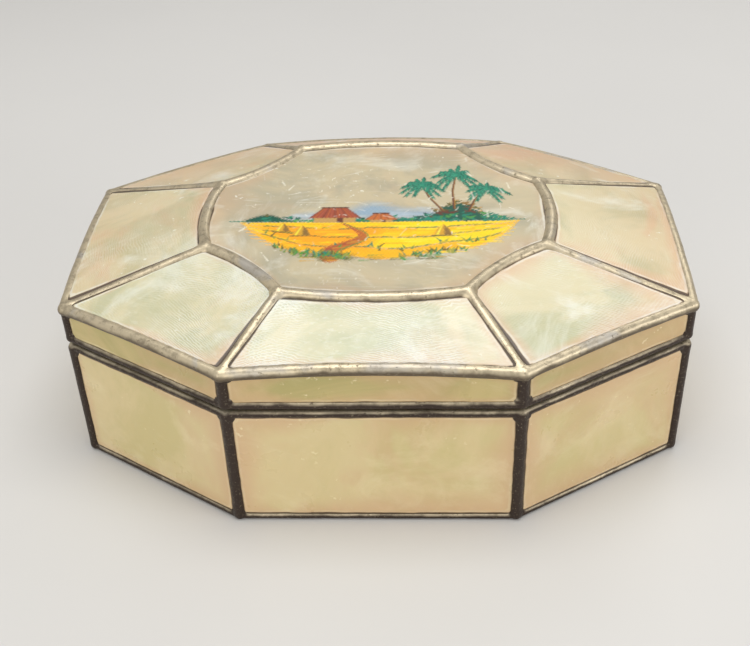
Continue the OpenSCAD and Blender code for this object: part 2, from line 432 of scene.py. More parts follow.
def growth_lines(s, place, flat):
    """Two sets of wavy, broken hatch lines and a fine level grain across a pane"""
    hatch = 0.0
    for turn, fineness, shake in ((0.30, 430.0, 22.0), (-0.22, 350.0, 30.0)):
        waves = s.add("ShaderNodeTexWave", wave_type="BANDS", bands_direction="Y", wave_profile="SIN")
        wave = s.fed(waves, Vector=s.turned(flat, turn), Scale=fineness, Distortion=shake, Detail=4.0,
                     Detail_Scale=0.12, Detail_Roughness=0.62)["Fac"]
        where = s.ramp(s.noise(place, scale=40.0 + turn * 20, detail=3.0, rough=0.6), 0.40, 0.58)
        hatch = s.most(hatch, s.times(s.ramp(wave, 0.35, 0.95), where))
    grain = s.noise(s.turned(flat, 0.1, 0.40), scale=900.0, detail=3.0, rough=0.6, distortion=0.5)
    streaks = s.ramp(grain, 0.50, 0.66)
    crazing = s.most(hatch, s.times(streaks, 0.45))
    return s.times(crazing, s.ramp(s.noise(place, scale=26.0, detail=4.0, rough=0.6), 0.36, 0.60, 0.15, 1.0))


def pearly_shell():
    """Colour and relief of windowpane shell: cloudy tint, pink edges, flecks, fine growth lines and a
    painted sheen
    """
    tree, s, given, out = group_tree(
        "pearly_shell",
        [("Vector", "Place"), ("Vector", "Flat"), ("Float", "Border", 0.01), ("Float", "Blush", 0.0),
         ("Float", "Frost", 0.0), ("Color", "Shell"), ("Color", "Tint"), ("Color", "Peach"),
         ("Color", "Pearl"), ("Float", "Peach Reach", 0.008), ("Float", "Peach Amount", 0.6),
         ("Float", "Bloom", 0.3), ("Float", "Lines", 0.3)],
        [("Color", "Colour"), ("Float", "Height")])
    place = given["Place"]
    cloud = s.noise(place, scale=24.0, detail=5.0, rough=0.60, distortion=1.2)
    drift = s.noise(place, scale=10.0, detail=3.0, rough=0.55, distortion=0.5)
    tinted = s.mix(s.ramp(cloud, 0.40, 0.64), given["Shell"], given["Tint"])

    reach = s.times(given["Peach Reach"], s.ramp(drift, 0.38, 0.62, 0.35, 1.9))
    near_edge = s.minus(1.0, s.ramp(given["Border"], 0.001, reach))
    blush = s.ramp(s.noise(place, scale=17.0, detail=4.0, rough=0.6, distortion=1.0), 0.50, 0.68)
    blush = s.times(s.plus(blush, given["Blush"]), 0.62)
    pink = s.times(s.most(near_edge, blush), given["Peach Amount"], clamp=True)
    pinked = s.mix(pink, tinted, given["Peach"])

    flecks = s.ramp(s.noise(place, scale=420.0, detail=2.0, rough=0.6), 0.66, 0.73)
    patchy = s.ramp(s.noise(place, scale=60.0, detail=2.0), 0.48, 0.60)
    bloom = s.ramp(s.noise(place, scale=34.0, detail=6.0, rough=0.66, distortion=1.4), 0.48, 0.72)
    # Painted sheen: whitens the front sloping panes where the lamp overhead would be reflected
    frost = s.times(given["Frost"], s.ramp(drift, 0.30, 0.60, 0.35, 1.0))
    bloom = s.plus(s.times(bloom, given["Bloom"]), frost, clamp=True)
    white = s.most(bloom, s.times(s.times(flecks, patchy), 0.6))
    bloomed = s.mix(white, pinked, given["Pearl"])

    # Where the painted sheen lies, the growth lines are painted brighter too
    marked = s.plus(s.times(given["Frost"], 2.6), 0.30, clamp=True)
    lines = s.times(s.times(growth_lines(s, place, given["Flat"]), given["Lines"]), marked)
    s.put(out["Colour"], s.mix(s.times(lines, 0.62), bloomed, given["Pearl"]))
    fine = s.noise(place, scale=800.0, detail=3.0, rough=0.6)
    s.put(out["Height"], s.plus(lines, s.times(fine, 0.25)))
    return tree


def pane_border():
    """The thin dark line and the thin painted highlight that run along a pane beside its cames"""
    tree, s, given, out = group_tree(
        "pane_border",
        [("Color", "Colour"), ("Float", "Border", 0.01), ("Vector", "Place"), ("Float", "Came Edge", 0.0016),
         ("Color", "Dark"), ("Color", "Bright"), ("Float", "Bright Amount", 0.5)],
        [("Color", "Colour")])
    shake = s.times(s.minus(s.noise(given["Place"], scale=130.0, detail=2.0), 0.5), 0.0009)
    depth = s.minus(s.plus(given["Border"], shake), given["Came Edge"])
    dark = s.minus(1.0, s.ramp(depth, 0.00012, 0.00055))
    # Painted highlight: a thin bright line a little way in from the dark line
    bright = s.times(s.ramp(depth, 0.0003, 0.00065), s.minus(1.0, s.ramp(depth, 0.0008, 0.0015)))
    broken = s.ramp(s.noise(given["Place"], scale=75.0, detail=3.0, rough=0.6), 0.40, 0.62, 0.15, 1.0)
    bright = s.times(bright, s.times(broken, given["Bright Amount"]))
    lit = s.mix(bright, given["Colour"], given["Bright"])
    s.put(out["Colour"], s.mix(s.times(dark, 0.9), lit, given["Dark"]))
    return tree


def aged_solder():
    """Colour, roughness and relief of old solder: brown patina and painted shade on the sides, rubbed tops
    with a painted highlight, oxide bloom and pits
    """
    tree, s, given, out = group_tree(
        "aged_solder",
        [("Vector", "Place"), ("Vector", "Facing"), ("Color", "Rubbed"), ("Color", "Patina"),
         ("Color", "Oxide"), ("Float", "Wear", 0.5), ("Float", "Oxide Amount", 0.3)],
        [("Color", "Colour"), ("Float", "Roughness"), ("Float", "Metallic"), ("Float", "Height")])
    place = given["Place"]
    upward = s.fed(s.add("ShaderNodeSeparateXYZ"), Vector=given["Facing"])["Z"]
    grain = s.noise(place, scale=300.0, detail=5.0, rough=0.70)
    cloud = s.noise(place, scale=75.0, detail=4.0, rough=0.6, distortion=0.6)
    speck = s.ramp(s.noise(place, scale=1300.0, detail=3.0, rough=0.7), 0.56, 0.72)
    pits = s.ramp(s.noise(place, scale=700.0, detail=3.0, rough=0.6), 0.62, 0.72)

    # Upward faces take the rubbed colour and side and lower faces the patina: real wear, and also a painted
    # highlight on the crowns and painted shade on the sides
    upward = s.plus(upward, s.times(s.minus(cloud, 0.5), 1.5))
    worn_and_lit = s.ramp(s.plus(upward, s.minus(given["Wear"], 0.5)), 0.0, 0.92)
    worn_and_lit = s.most(worn_and_lit, s.times(speck, 0.30), clamp=True)
    worn_and_lit = s.times(worn_and_lit, s.ramp(grain, 0.30, 0.56, 0.45, 1.0))
    rubbed = s.mix(worn_and_lit, given["Patina"], given["Rubbed"])

    bloom = s.ramp(s.noise(place, scale=48.0, detail=3.0, rough=0.6, distortion=0.8), 0.54, 0.68)
    bloom = s.times(bloom, given["Oxide Amount"])
    bloomed = s.mix(s.times(bloom, worn_and_lit), rubbed, given["Oxide"])
    s.put(out["Colour"], s.mix(s.times(pits, 0.6), bloomed, given["Patina"]))

    rough = s.ramp(worn_and_lit, 0.0, 1.0, 0.42, 0.40, "LINEAR")
    rough = s.plus(rough, s.times(s.minus(grain, 0.5), 0.5))
    s.put(out["Roughness"], s.plus(rough, s.times(bloom, 0.2)))
    s.put(out["Metallic"], s.ramp(worn_and_lit, 0.0, 1.0, 0.40, 0.82, "LINEAR"))
    relief = s.minus(grain, s.times(pits, 0.6))
    s.put(out["Height"], s.plus(relief, s.times(cloud, 0.5)))
    return tree


# ---------- materials ----------

def material_tree(name):
    material = bpy.data.materials.new(name)
    material.use_nodes = True
    s = Tree(material.node_tree)
    s.nodes.clear()
    surface = s.add("ShaderNodeBsdfPrincipled")
    s.put(s.add("ShaderNodeOutputMaterial").inputs["Surface"], surface.outputs[0])
    return material, s, surface


def solder_material(name, rubbed, patina, oxide, wear, bloom, relief, strength):
    """Solder or wire; relief is the depth of its grain and pits in metres, and wear is how far the rubbed
    colour and painted highlight reach from the crowns
    """
    if name in bpy.data.materials:
        return bpy.data.materials[name]
    material, s, surface = material_tree(name)
    place = s.add("ShaderNodeTexCoord").outputs
    look = s.group(aged_solder, Place=place["Object"], Facing=place["Normal"], Rubbed=rgba(rubbed),
                   Patina=rgba(patina), Oxide=rgba(oxide), Wear=wear, Oxide_Amount=bloom)
    s.fed(surface, Base_Color=look["Colour"], Roughness=look["Roughness"], Metallic=look["Metallic"],
          Normal=s.bump(look["Height"], relief, strength))
    return material


def dark_solder():
    """Body, hinge and lower lid cames, brown all over, with little rubbed bare and little painted highlight
    """
    c = colours()
    return solder_material("solder dark_came", c.pewter, c.patina, c.oxide, wear=0.32, bloom=0.15,
                           relief=0.22 * MM, strength=0.75)


def bright_solder():
    """Top cames, rubbed bare and painted with a highlight along their crowns, their sides painted dark brown
    as shade
    """
    c = colours()
    return solder_material("solder bright_came", c.pewter, c.bronze, c.oxide, wear=0.68, bloom=0.5,
                           relief=0.22 * MM, strength=0.75)


def dull_brass():
    c = colours()
    return solder_material("dull brass", c.brass, [0.35 * v for v in c.brass], c.patina, wear=0.8, bloom=0.4,
                           relief=0.08 * MM, strength=0.4)


def shell_surface(name, shell_rgb, tint, pearl, came_edge, reach, peach, bloom, lines, bright, rough, gloss):
    """The nodes of a pearly pane, for the caller to finish; came_edge is where its cames' beads end, and
    bright is the strength of the painted highlight beside them
    """
    material, s, surface = material_tree(name)
    c = colours()
    place = s.add("ShaderNodeTexCoord").outputs["Object"]
    border = s.attribute("border")
    look = s.group(
        pearly_shell, Place=place, Flat=s.add("ShaderNodeUVMap", uv_map="pane").outputs[0], Border=border,
        Blush=s.attribute("blush"), Frost=s.attribute("frost"), Shell=rgba(shell_rgb), Tint=rgba(tint),
        Peach=rgba(c.peach), Pearl=rgba(pearl), Peach_Reach=reach, Peach_Amount=peach, Bloom=bloom,
        Lines=lines)
    edged = s.group(pane_border, Colour=look["Colour"], Border=border, Place=place, Came_Edge=came_edge,
                    Dark=rgba(c.patina), Bright=rgba(pearl), Bright_Amount=bright)["Colour"]
    uneven = s.noise(place, scale=55.0, detail=4.0, rough=0.65)
    s.fed(surface, Base_Color=edged, Roughness=s.ramp(uneven, 0.35, 0.65, rough - 0.09, rough + 0.09),
          Specular_IOR_Level=gloss, Coat_Weight=0.12, Coat_Roughness=0.25, Subsurface_Weight=0.12,
          Subsurface_Radius=(0.004, 0.003, 0.0015), Subsurface_Scale=1.0,
          Normal=s.bump(look["Height"], 0.08 * MM, 0.9))
    return material, s, surface, look, edged, place


def khaki_shell():
    """The body's upright panes and floor"""
    c = colours()
    name = "khaki shell"
    return bpy.data.materials.get(name) or shell_surface(
        name, c.wall, c.wall_tint, c.cream, came_edge=1.7 * MM, reach=9 * MM, peach=0.62, bloom=0.30,
        lines=0.10, bright=0.30, rough=0.36, gloss=0.40)[0]


def ochre_shell():
    """The lid's short upright panes, a more olive shell and darker than the body's as painted shade under
    the top rim
    """
    c = colours()
    name = "ochre shell"
    return bpy.data.materials.get(name) or shell_surface(
        name, c.band, c.band_tint, c.cream, came_edge=1.7 * MM, reach=9 * MM, peach=0.60, bloom=0.22,
        lines=0.10, bright=0.35, rough=0.36, gloss=0.40)[0]


def pale_shell():
    """The lid's sloping panes"""
    c = colours()
    name = "pale shell"
    return bpy.data.materials.get(name) or shell_surface(
        name, c.top, c.top_tint, c.pearl, came_edge=1.8 * MM, reach=8 * MM, peach=0.80, bloom=0.45,
        lines=1.0, bright=0.50, rough=0.38, gloss=0.45)[0]


def painted_shell():
    """The medallion's pane, with hair scratches and the paint that its mesh carries"""
    c = colours()
    material, s, surface, look, edged, place = shell_surface(
        "painted shell", c.medal, c.medal_tint, c.pearl, came_edge=1.9 * MM, reach=14 * MM, peach=0.35,
        bloom=0.42, lines=0.06, bright=0.55, rough=0.38, gloss=0.45)
    scratches = s.group(hair_scratches, Place=place, Scale=75.0, Amount=0.4)["Mask"]
    scratched = s.mix(scratches, edged, rgba(c.pearl))
    cover = s.attribute("cover")
    brushed = s.times(s.noise(place, scale=700.0, detail=3.0, rough=0.6), s.times(cover, 0.8))
    s.fed(surface, Base_Color=s.mix(cover, scratched, s.attribute("paint", "Color")),
          Roughness=s.ramp(cover, 0.0, 1.0, 0.38, 0.46, "LINEAR"),
          Normal=s.bump(s.plus(look["Height"], brushed), 0.08 * MM, 0.9))
    return material


def studio_floor():
    material, s, surface = material_tree("studio floor")
    place = s.add("ShaderNodeTexCoord").outputs["Object"]
    c = colours().floor
    mottle = s.ramp(s.noise(place, scale=5.0), 0.3, 0.7)
    s.fed(surface, Base_Color=s.mix(mottle, rgba(c), rgba([0.97 * v for v in c])), Roughness=0.75)
    return material


# ---------- solder cames ----------

def geometry_tree(name, inputs):
    """A tree that takes and gives geometry; its inputs' identifiers are kept on it, by label"""
    tree = bpy.data.node_groups.new(name, "GeometryNodeTree")
    socket(tree, "INPUT", "Geometry", "Geometry")
    socket(tree, "OUTPUT", "Geometry", "Geometry")
    names = {label: socket(tree, "INPUT", kind, label).identifier for kind, label in inputs}
    tree["sockets"] = json.dumps(names)
    s = Tree(tree)
    return tree, s, s.add("NodeGroupInput").outputs, s.add("NodeGroupOutput").inputs


def end_tree(s, geometry, material, out):
    """Makes instances real and gives the result its material"""
    real = s.fed(s.add("GeometryNodeRealizeInstances"), Geometry=geometry)[0]
    s.put(out["Geometry"], s.fed(s.add("GeometryNodeSetMaterial"), Geometry=real, Material=material)[0])


def add_tree(obj, build, **values):
    """Gives obj a modifier with a tree, which is built the first time that it is asked for"""
    tree = bpy.data.node_groups.get(build.__name__) or build()
    modifier = obj.modifiers.new(tree.name, "NODES")
    modifier.node_group = tree
    names = json.loads(tree["sockets"])
    for label, value in values.items():
        modifier[names[label]] = value


def solder_beads():
    """Sweeps a round bead along every edge line and drops a ball of solder on every marked point"""
    tree, s, given, out = geometry_tree("solder_beads", [
        ("Float", "Step"), ("Float", "Wobble"), ("Int", "Seed"), ("Material", "Material")])

    def named(label):
        return s.fed(s.add("GeometryNodeInputNamedAttribute", data_type="FLOAT"), Name=label)[0]

    lines = s.fed(s.add("GeometryNodeMeshToCurve"), Mesh=given["Geometry"])[0]
    sized = s.fed(s.add("GeometryNodeSetCurveRadius"), Curve=lines, Radius=named("radius"))[0]
    steps = s.fed(s.add("GeometryNodeResampleCurve", mode="LENGTH"), Curve=sized, Length=given["Step"])[0]
    shake = s.add("ShaderNodeTexNoise", noise_dimensions="4D")
    shake = s.fed(shake, W=given["Seed"], Scale=95.0, Detail=2.0)["Color"]
    shift = s.vectors("SCALE", s.vectors("SUBTRACT", shake, (0.5, 0.5, 0.5)), given["Wobble"])
    wavy = s.fed(s.add("GeometryNodeSetPosition"), Geometry=steps, Offset=shift)[0]
    ring = s.fed(s.add("GeometryNodeCurvePrimitiveCircle"), Resolution=16, Radius=1.0)[0]
    swept = s.fed(s.add("GeometryNodeCurveToMesh"), Curve=wavy, Profile_Curve=ring, Fill_Caps=True,
                  Scale=s.add("GeometryNodeInputRadius").outputs[0])[0]

    ball = s.fed(s.add("GeometryNodeMeshIcoSphere"), Radius=1.0, Subdivisions=3)["Mesh"]
    marked = s.add("FunctionNodeCompare", data_type="FLOAT", operation="GREATER_THAN")
    s.put(marked.inputs[0], named("ball"))
    s.put(marked.inputs[1], 0.01 * MM)
    dropped = s.fed(s.add("GeometryNodeInstanceOnPoints"), Points=given["Geometry"],
                    Selection=marked.outputs[0], Instance=ball, Scale=named("ball"))[0]
    joined = s.add("GeometryNodeJoinGeometry")
    s.put(joined.inputs[0], dropped)
    s.put(joined.inputs[0], swept)
    end_tree(s, joined.outputs[0], given["Material"], out)
    return tree


def solder_skin():
    """Raises low bumps on the fused solder and keeps its underside on the table"""
    tree, s, given, out = geometry_tree("solder_skin", [
        ("Float", "Height"), ("Float", "Floor"), ("Int", "Seed"), ("Material", "Material")])
    bumps = s.add("ShaderNodeTexNoise", noise_dimensions="4D")
    bumps = s.fed(bumps, W=given["Seed"], Scale=330.0, Detail=3.0)[0]
    height = s.times(s.minus(bumps, 0.5), given["Height"])
    push = s.vectors("SCALE", s.add("GeometryNodeInputNormal").outputs[0], height)
    raised = s.fed(s.add("GeometryNodeSetPosition"), Geometry=given["Geometry"], Offset=push)[0]
    lowest = s.fed(s.add("ShaderNodeCombineXYZ"), X=FAR_BELOW, Y=FAR_BELOW, Z=given["Floor"])[0]
    place = s.vectors("MAXIMUM", s.add("GeometryNodeInputPosition").outputs[0], lowest)
    seated = s.fed(s.add("GeometryNodeSetPosition"), Geometry=raised, Position=place)[0]
    shaded = s.fed(s.add("GeometryNodeSetShadeSmooth"), Geometry=seated)[0]
    end_tree(s, shaded, given["Material"], out)
    return tree


class Wiring:
    """Collects came centre lines, with a radius at each point, and balls of solder"""

    def __init__(self):
        self.points, self.edges, self.radii, self.balls = [], [], [], []

    def line(self, points, radius, closed=False, swell=0.0):
        """A came along points; swell is how much fatter it is at its ends"""
        start = len(self.points)
        count = len(points)
        for k, p in enumerate(points):
            near_end = max(0.0, abs(2 * k / (count - 1) - 1) * 5 - 4)
            self.points.append(p)
            self.radii.append(radius if closed else radius * (1 + swell * near_end))
            self.balls.append(0.0)
        self.edges += [(start + k, start + k + 1) for k in range(count - 1)]
        if closed:
            self.edges.append((start + count - 1, start))

    def ball(self, p, radius):
        self.points.append(p)
        self.radii.append(0.0)
        self.balls.append(radius)

    def pool(self, corner, way_a, way_b, reach, radius):
        """A drop of solder in the inside corner between two cames that leave a point"""
        self.ball(corner + (way_a.normalized() + way_b.normalized()) * reach, radius)


def between(a, b, count=12):
    return [a.lerp(b, k / count) for k in range(count + 1)]


def fused_cames(name, wiring, material, seed, body, nodes, voxel, floor=FAR_BELOW):
    """One closed piece of solder; voxel is the grid that its beads are fused on"""
    c = cames()
    obj = new_object(name + "_lines", wiring.points, [], wiring.edges)
    set_floats(obj.data, "radius", wiring.radii)
    set_floats(obj.data, "ball", wiring.balls)
    add_tree(obj, solder_beads, Step=c.step, Wobble=2 * c.wobble, Seed=seed, Material=material)
    fuse = obj.modifiers.new("fuse", "REMESH")
    fuse.mode = "VOXEL"
    fuse.voxel_size = voxel
    fuse.use_smooth_shade = True
    soften = obj.modifiers.new("soften", "SMOOTH")
    soften.factor = 0.5
    soften.iterations = 7
    add_tree(obj, solder_skin, Height=2 * c.pimple, Floor=floor, Seed=seed + 3, Material=material)
    finish_piece(baked(obj, name), body, material, nodes)


def wall_loop(z, per_side=10):
    return [at_height(wall_corner(i).lerp(wall_corner(i + 1), k / per_side), z)
            for i in range(8) for k in range(per_side)]


def along_wall(i):
    return (wall_corner(i + 1) - wall_corner(i)).normalized().to_3d()


def body_cames():
    c = cames()
    w = Wiring()
    w.line(wall_loop(c.base_r), c.base_r, closed=True)
    w.line(wall_loop(BODY_RIM_Z), c.body_rim_r, closed=True)
    for i in range(8):
        inward = -wall_corner(i).normalized().to_3d() * c.post_in
        low, high = at_height(wall_corner(i), c.base_r), at_height(wall_corner(i), BODY_RIM_Z)
        w.line(between(low + inward, high + inward), c.post_r, swell=0.06)
        w.ball(low + UP * 0.35 * MM + inward, c.post_r * (1 + 0.3 * c.joint))
        w.ball(high - UP * 0.5 * MM + inward, c.post_r * (1 + 0.5 * c.joint))
        for way in (along_wall(i), -along_wall(i - 1)):
            w.pool(low, way, UP, 1.75 * MM, c.pool * 0.8)
            w.pool(high, way, -UP, 1.85 * MM, c.pool)
    nodes = ["base_rim", "body_rim"] + [f"body_post_{name}" for name in CORNERS]
    fused_cames("body_cames", w, dark_solder(), 5, "box", nodes, c.body_voxel, floor=0.0)


def lid_band_cames():
    c = cames()
    w = Wiring()
    w.line(wall_loop(LID_RIM_Z), c.lid_rim_r, closed=True)
    for i in range(8):
        inward = -wall_corner(i).normalized().to_3d() * c.lid_post_in
        low, high = at_height(wall_corner(i), LID_RIM_Z), at_height(wall_corner(i), top_z())
        w.line(between(low + inward, high + inward, 6), c.lid_post_r)
        w.ball(low + UP * 0.3 * MM + inward, c.lid_post_r * (1 + 0.4 * c.joint))
        for way in (along_wall(i), -along_wall(i - 1)):
            w.pool(low, way, UP, 1.8 * MM, c.pool)
            w.pool(high, way, -UP, 2.3 * MM, c.pool * 1.15)
    nodes = ["lid_lower_rim"] + [f"lid_post_{name}" for name in CORNERS]
    fused_cames("lid_band_cames", w, dark_solder(), 17, "lid", nodes, c.band_voxel)


def lid_top_cames():
    """The top rim, the ribs and the medallion's came, with solder pooled in every corner between them"""
    c = cames()
    w = Wiring()
    drop, sunk = -UP * c.rim_drop, -UP * c.medal_sunk
    w.line([rim_point(i, k / 12) + drop for i in range(8) for k in range(12)], c.top_rim_r, closed=True)
    w.line([medal_point(i, k / 12) + sunk for i in range(8) for k in range(12)], c.medal_r, closed=True)
    for i in range(8):
        low, high = rim_point(i, 0) + drop, medal_point(i, 0) + sunk
        w.line(between(low, high), c.rib_r, swell=0.25)
        w.ball(low, c.top_rim_r * (1 + 0.9 * c.joint))
        w.ball(high, c.medal_r * (1 + 0.9 * c.joint))
        rib = high - low
        for side, step in ((i, 0.1), ((i - 1) % 8, 0.9)):
            w.pool(low, rib, rim_point(side, step) + drop - low, 2.0 * MM, c.pool)
            w.pool(high, -rib, medal_point(side, step) - high, 1.9 * MM, c.pool)
    for i in range(8):
        corner = medal_point(i, 0)
        onward, back = medal_point(i, 0.1) - corner, medal_point((i - 1) % 8, 0.9) - corner
        w.pool(corner, onward, back, 1.5 * MM, c.pool * 0.8)
    nodes = ["lid_top_rim", "medallion_came"] + [f"rib_{name}" for name in CORNERS]
    fused_cames("lid_top_cames", w, bright_solder(), 29, "lid", nodes, c.top_voxel)


# ---------- shell panes ----------

def ripple(p, seed):
    """Height of the shell's surface over its flat, at a point of pane number seed"""
    return shell().ripple * noise.noise(p * 28 + Vector((seed * 7.3, 0, seed * 3.1)))


def grid_faces(row, rows):
    """Quads of a grid with its points counted row by row"""
    starts = [j * row + i for j in range(rows - 1) for i in range(row - 1)]
    return [(a, a + 1, a + row + 1, a + row) for a in starts]


def grid_rim(row, rows):
    """The grid's outer points, in order round it"""
    across, up = row - 1, rows - 1
    return ([i for i in range(across)] + [across + j * row for j in range(up)]
            + [up * row + across - i for i in range(across)] + [(up - j) * row for j in range(up)])


def set_pane_uv(mesh, uvs):
    layer = mesh.uv_layers.new(name="pane")
    loops = np.empty(len(mesh.loops), dtype=np.int32)
    mesh.loops.foreach_get("vertex_index", loops)
    layer.data.foreach_set("uv", np.array(uvs, dtype=np.float32)[loops].ravel())


def pane(name, place, out_way, size, seed, body, material, node, blush=0.0, frost=0.0, foot=None):
    """A closed slab whose middle surface is place(u, v), with a pane UV in metres and its border distance.

    blush tints the pane pink and the next argument whitens it with a painted sheen; foot is the border
    distance along its lower edge.
    """
    wide, high = size
    margin = shell().under_came
    foot = margin if foot is None else foot
    cell = shell().cell
    nu, nv = max(4, round(wide / cell)), max(3, round(high / cell))
    verts, uvs, border, pink = [], [], [], []
    for face in (0.5, -0.5):
        for j in range(nv + 1):
            for i in range(nu + 1):
                u, v = i / nu, j / nv
                p = place(u, v)
                verts.append(p + out_way * (face * SHELL_T + ripple(p, seed)))
                uvs.append(((u - 0.5) * wide + seed, (v - 0.5) * high))
                border.append(min(margin + min(u, 1 - u) * wide, margin + (1 - v) * high, foot + v * high))
                pink.append(blush * (1.5 - v))
    sheet = (nu + 1) * (nv + 1)
    upper = grid_faces(nu + 1, nv + 1)
    faces = upper + [tuple(sheet + v for v in reversed(face)) for face in upper]
    rim = grid_rim(nu + 1, nv + 1)
    faces += [(a, sheet + a, sheet + b, b) for a, b in zip(rim, rim[1:] + rim[:1])]
    obj = new_object(name, verts, faces)
    set_pane_uv(obj.data, uvs)
    set_floats(obj.data, "border", border)
    set_floats(obj.data, "blush", pink)
    set_floats(obj.data, "frost", [frost] * len(verts))
    for polygon in obj.data.polygons:
        polygon.use_smooth = len(set(v < sheet for v in polygon.vertices)) == 1
    finish_piece(obj, body, material, [node])


def upright_pane(name, i, low, high, seed, body, material, node, blush=0.0):
    """A pane of side i, from height low to high(u)"""
    inset = shell().under_came
    way = along_wall(i)
    start = wall_corner(i).to_3d() + way * inset
    wide = (wall_corner(i + 1) - wall_corner(i)).length - 2 * inset
    out_way = outward(wall_corner(i), wall_corner(i + 1)).to_3d()

    def place(u, v):
        return start + way * u * wide + UP * (low + (high(u) - low) * v)

    pane(name, place, out_way, (wide, high(0.5) - low), seed, body, material, node, blush)


def wall_panes():
    for i, side in enumerate(SIDES):
        node = f"wall_pane_{side}"
        top = top_of(node)
        upright_pane(f"shell_wall_{side}", i, bottom_of(node), lambda u: top, i + 1, "box", khaki_shell(),
                     node)


def band_panes():
    inset = shell().under_came
    for i, side in enumerate(SIDES):
        node = f"band_pane_{side}"
        upright_pane(f"shell_band_{side}", i, bottom_of(node), lambda u: rim_point(i, u).z - inset, i + 21,
                     "lid", ochre_shell(), node, blush=0.2)


# How pink each sloping pane is, and how strongly a painted sheen whitens it, in the order of SIDES
TOP_BLUSH = (0.0, 0.10, 0.50, 0.9, 1.0, 0.9, 0.45, 0.15)
TOP_PAINTED_SHEEN = (0.28, 0.11, 0.0, 0.0, 0.0, 0.0, 0.03, 0.17)


def top_panes():
    inset, outer = shell().under_came, shell().over_rim
    for i, side in enumerate(SIDES):
        run = (medal_point(i, 0.5) - rim_point(i, 0.5)).length
        wide = (wall_corner(i + 1) - wall_corner(i)).length
        narrow = (medal_corner(i + 1) - medal_corner(i)).length

        def place(u, v):
            t = (outer + v * (run - inset - outer)) / run
            across = wide + (narrow - wide) * t
            s = inset / across + u * (1 - 2 * inset / across)
            return rim_point(i, s).lerp(medal_point(i, s), t)

        corner = rim_point(i, 0)
        out_way = (rim_point(i, 1) - corner).cross(medal_point(i, 0.5) - corner).normalized()
        pane(f"shell_top_{side}", place, out_way, ((wide + narrow) / 2, run), i + 41, "lid",
             pale_shell(), f"top_pane_{side}", TOP_BLUSH[i], TOP_PAINTED_SHEEN[i], outer + shell().rim_seen)


def floor_pane():
    """The floor's outline is an octagon, filled by rows that run from side to side"""
    low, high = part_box("floor_pane")
    inset = HALF_DEP - high.y
    slope = (HALF_LEN - HALF_FRONT) / (HALF_DEP - HALF_END)

    def place(u, v):
        y = low.y + v * (high.y - low.y)
        half_width = HALF_LEN - inset - max(0.0, abs(y) - HALF_END) * slope
        return Vector(((2 * u - 1) * half_width, y, (low.z + high.z) / 2))

    pane("shell_floor", place, UP, (high.x - low.x, high.y - low.y), 61, "box", khaki_shell(),
         "floor_pane")


# ---------- the painted medallion ----------

# The part of the pane that takes paint, from its middle
PAINT_LEFT, PAINT_RIGHT, PAINT_NEAR, PAINT_FAR = -51 * MM, 52 * MM, -37.5 * MM, 33 * MM
PAINT_THICK = 0.03 * MM
MEDAL_SEED = 71


class Canvas:
    """Paint laid on points of the medallion, in millimetres from its middle"""

    def __init__(self, x, y):
        self.x, self.y = x, y
        self.rgb = np.zeros((len(x), 3))
        self.cover = np.zeros(len(x))
        self.dice = np.random.default_rng(11)
        self.grain = self.waves(x * 2.6, y * 2.6)

    @staticmethod
    def waves(x, y):
        """A cheap smooth noise, about -1 to 1"""
        return (np.sin(1.7 * x + 2.3 * np.sin(0.9 * y)) + np.sin(2.9 * y + 1.9 * np.sin(1.3 * x + 0.7))
                + np.sin(4.1 * (x + y) + 1.1 * np.sin(2.2 * y))) / 3

    def lay(self, amount, rgb):
        """Lays one colour over every point, by an amount for each point"""
        amount = np.clip(amount, 0, 1)
        near = amount > 0.002
        linear = np.array([(v / 255) ** 2.2 for v in rgb])
        tone = 1 + 0.12 * self.grain[near] + self.dice.normal(0, 0.04)
        mixed = linear[None, :] * tone[:, None]
        a = amount[near][:, None]
        self.rgb[near] = self.rgb[near] * (1 - a) + mixed * a
        self.cover[near] += (1 - self.cover[near]) * amount[near]

    def stroke(self, points, start, end, rgb, edge=0.25, ragged=0.25, strength=1.0):
        """A tapering brush stroke through points, start and end wide"""
        points = np.array(points, float)
        total = len(points) - 1
        reach = max(start, end) + 1
        low, high = points.min(0) - reach, points.max(0) + reach
        near = (self.x > low[0]) & (self.x < high[0]) & (self.y > low[1]) & (self.y < high[1])
        if not near.any():
            return
        px, py = self.x[near], self.y[near]
        outside = np.full(len(px), np.inf)
        for k in range(total):
            a, b = points[k], points[k + 1]
            d = b - a
            t = np.clip(((px - a[0]) * d[0] + (py - a[1]) * d[1]) / (d @ d + 1e-9), 0, 1)
            along = (k + t) / total
            half = (start + (end - start) * along) / 2
            outside = np.minimum(outside, np.hypot(px - a[0] - t * d[0], py - a[1] - t * d[1]) - half)
        outside = outside + ragged * self.grain[near] * max(start, end) / 2
        amount = np.zeros(len(self.x))
        amount[near] = strength * (0.5 - outside / edge)
        self.lay(amount, rgb)

    def patch(self, outline, rgb, edge=0.5, ragged=0.5, strength=1.0):
        """A filled area with brushed edges"""
        points = np.array(outline, float)
        inside = np.zeros(len(self.x), bool)
        far = np.full(len(self.x), np.inf)
        for a, b in zip(points, np.roll(points, -1, 0)):
            d = b - a
            t = np.clip(((self.x - a[0]) * d[0] + (self.y - a[1]) * d[1]) / (d @ d + 1e-9), 0, 1)
            far = np.minimum(far, np.hypot(self.x - a[0] - t * d[0], self.y - a[1] - t * d[1]))
            crosses = (a[1] > self.y) != (b[1] > self.y)
            with np.errstate(divide="ignore", invalid="ignore"):
                inside ^= crosses & (self.x < (b[0] - a[0]) * (self.y - a[1]) / (b[1] - a[1]) + a[0])
        outside = np.where(inside, -far, far) + ragged * self.grain
        self.lay(strength * (0.5 - outside / edge), rgb)


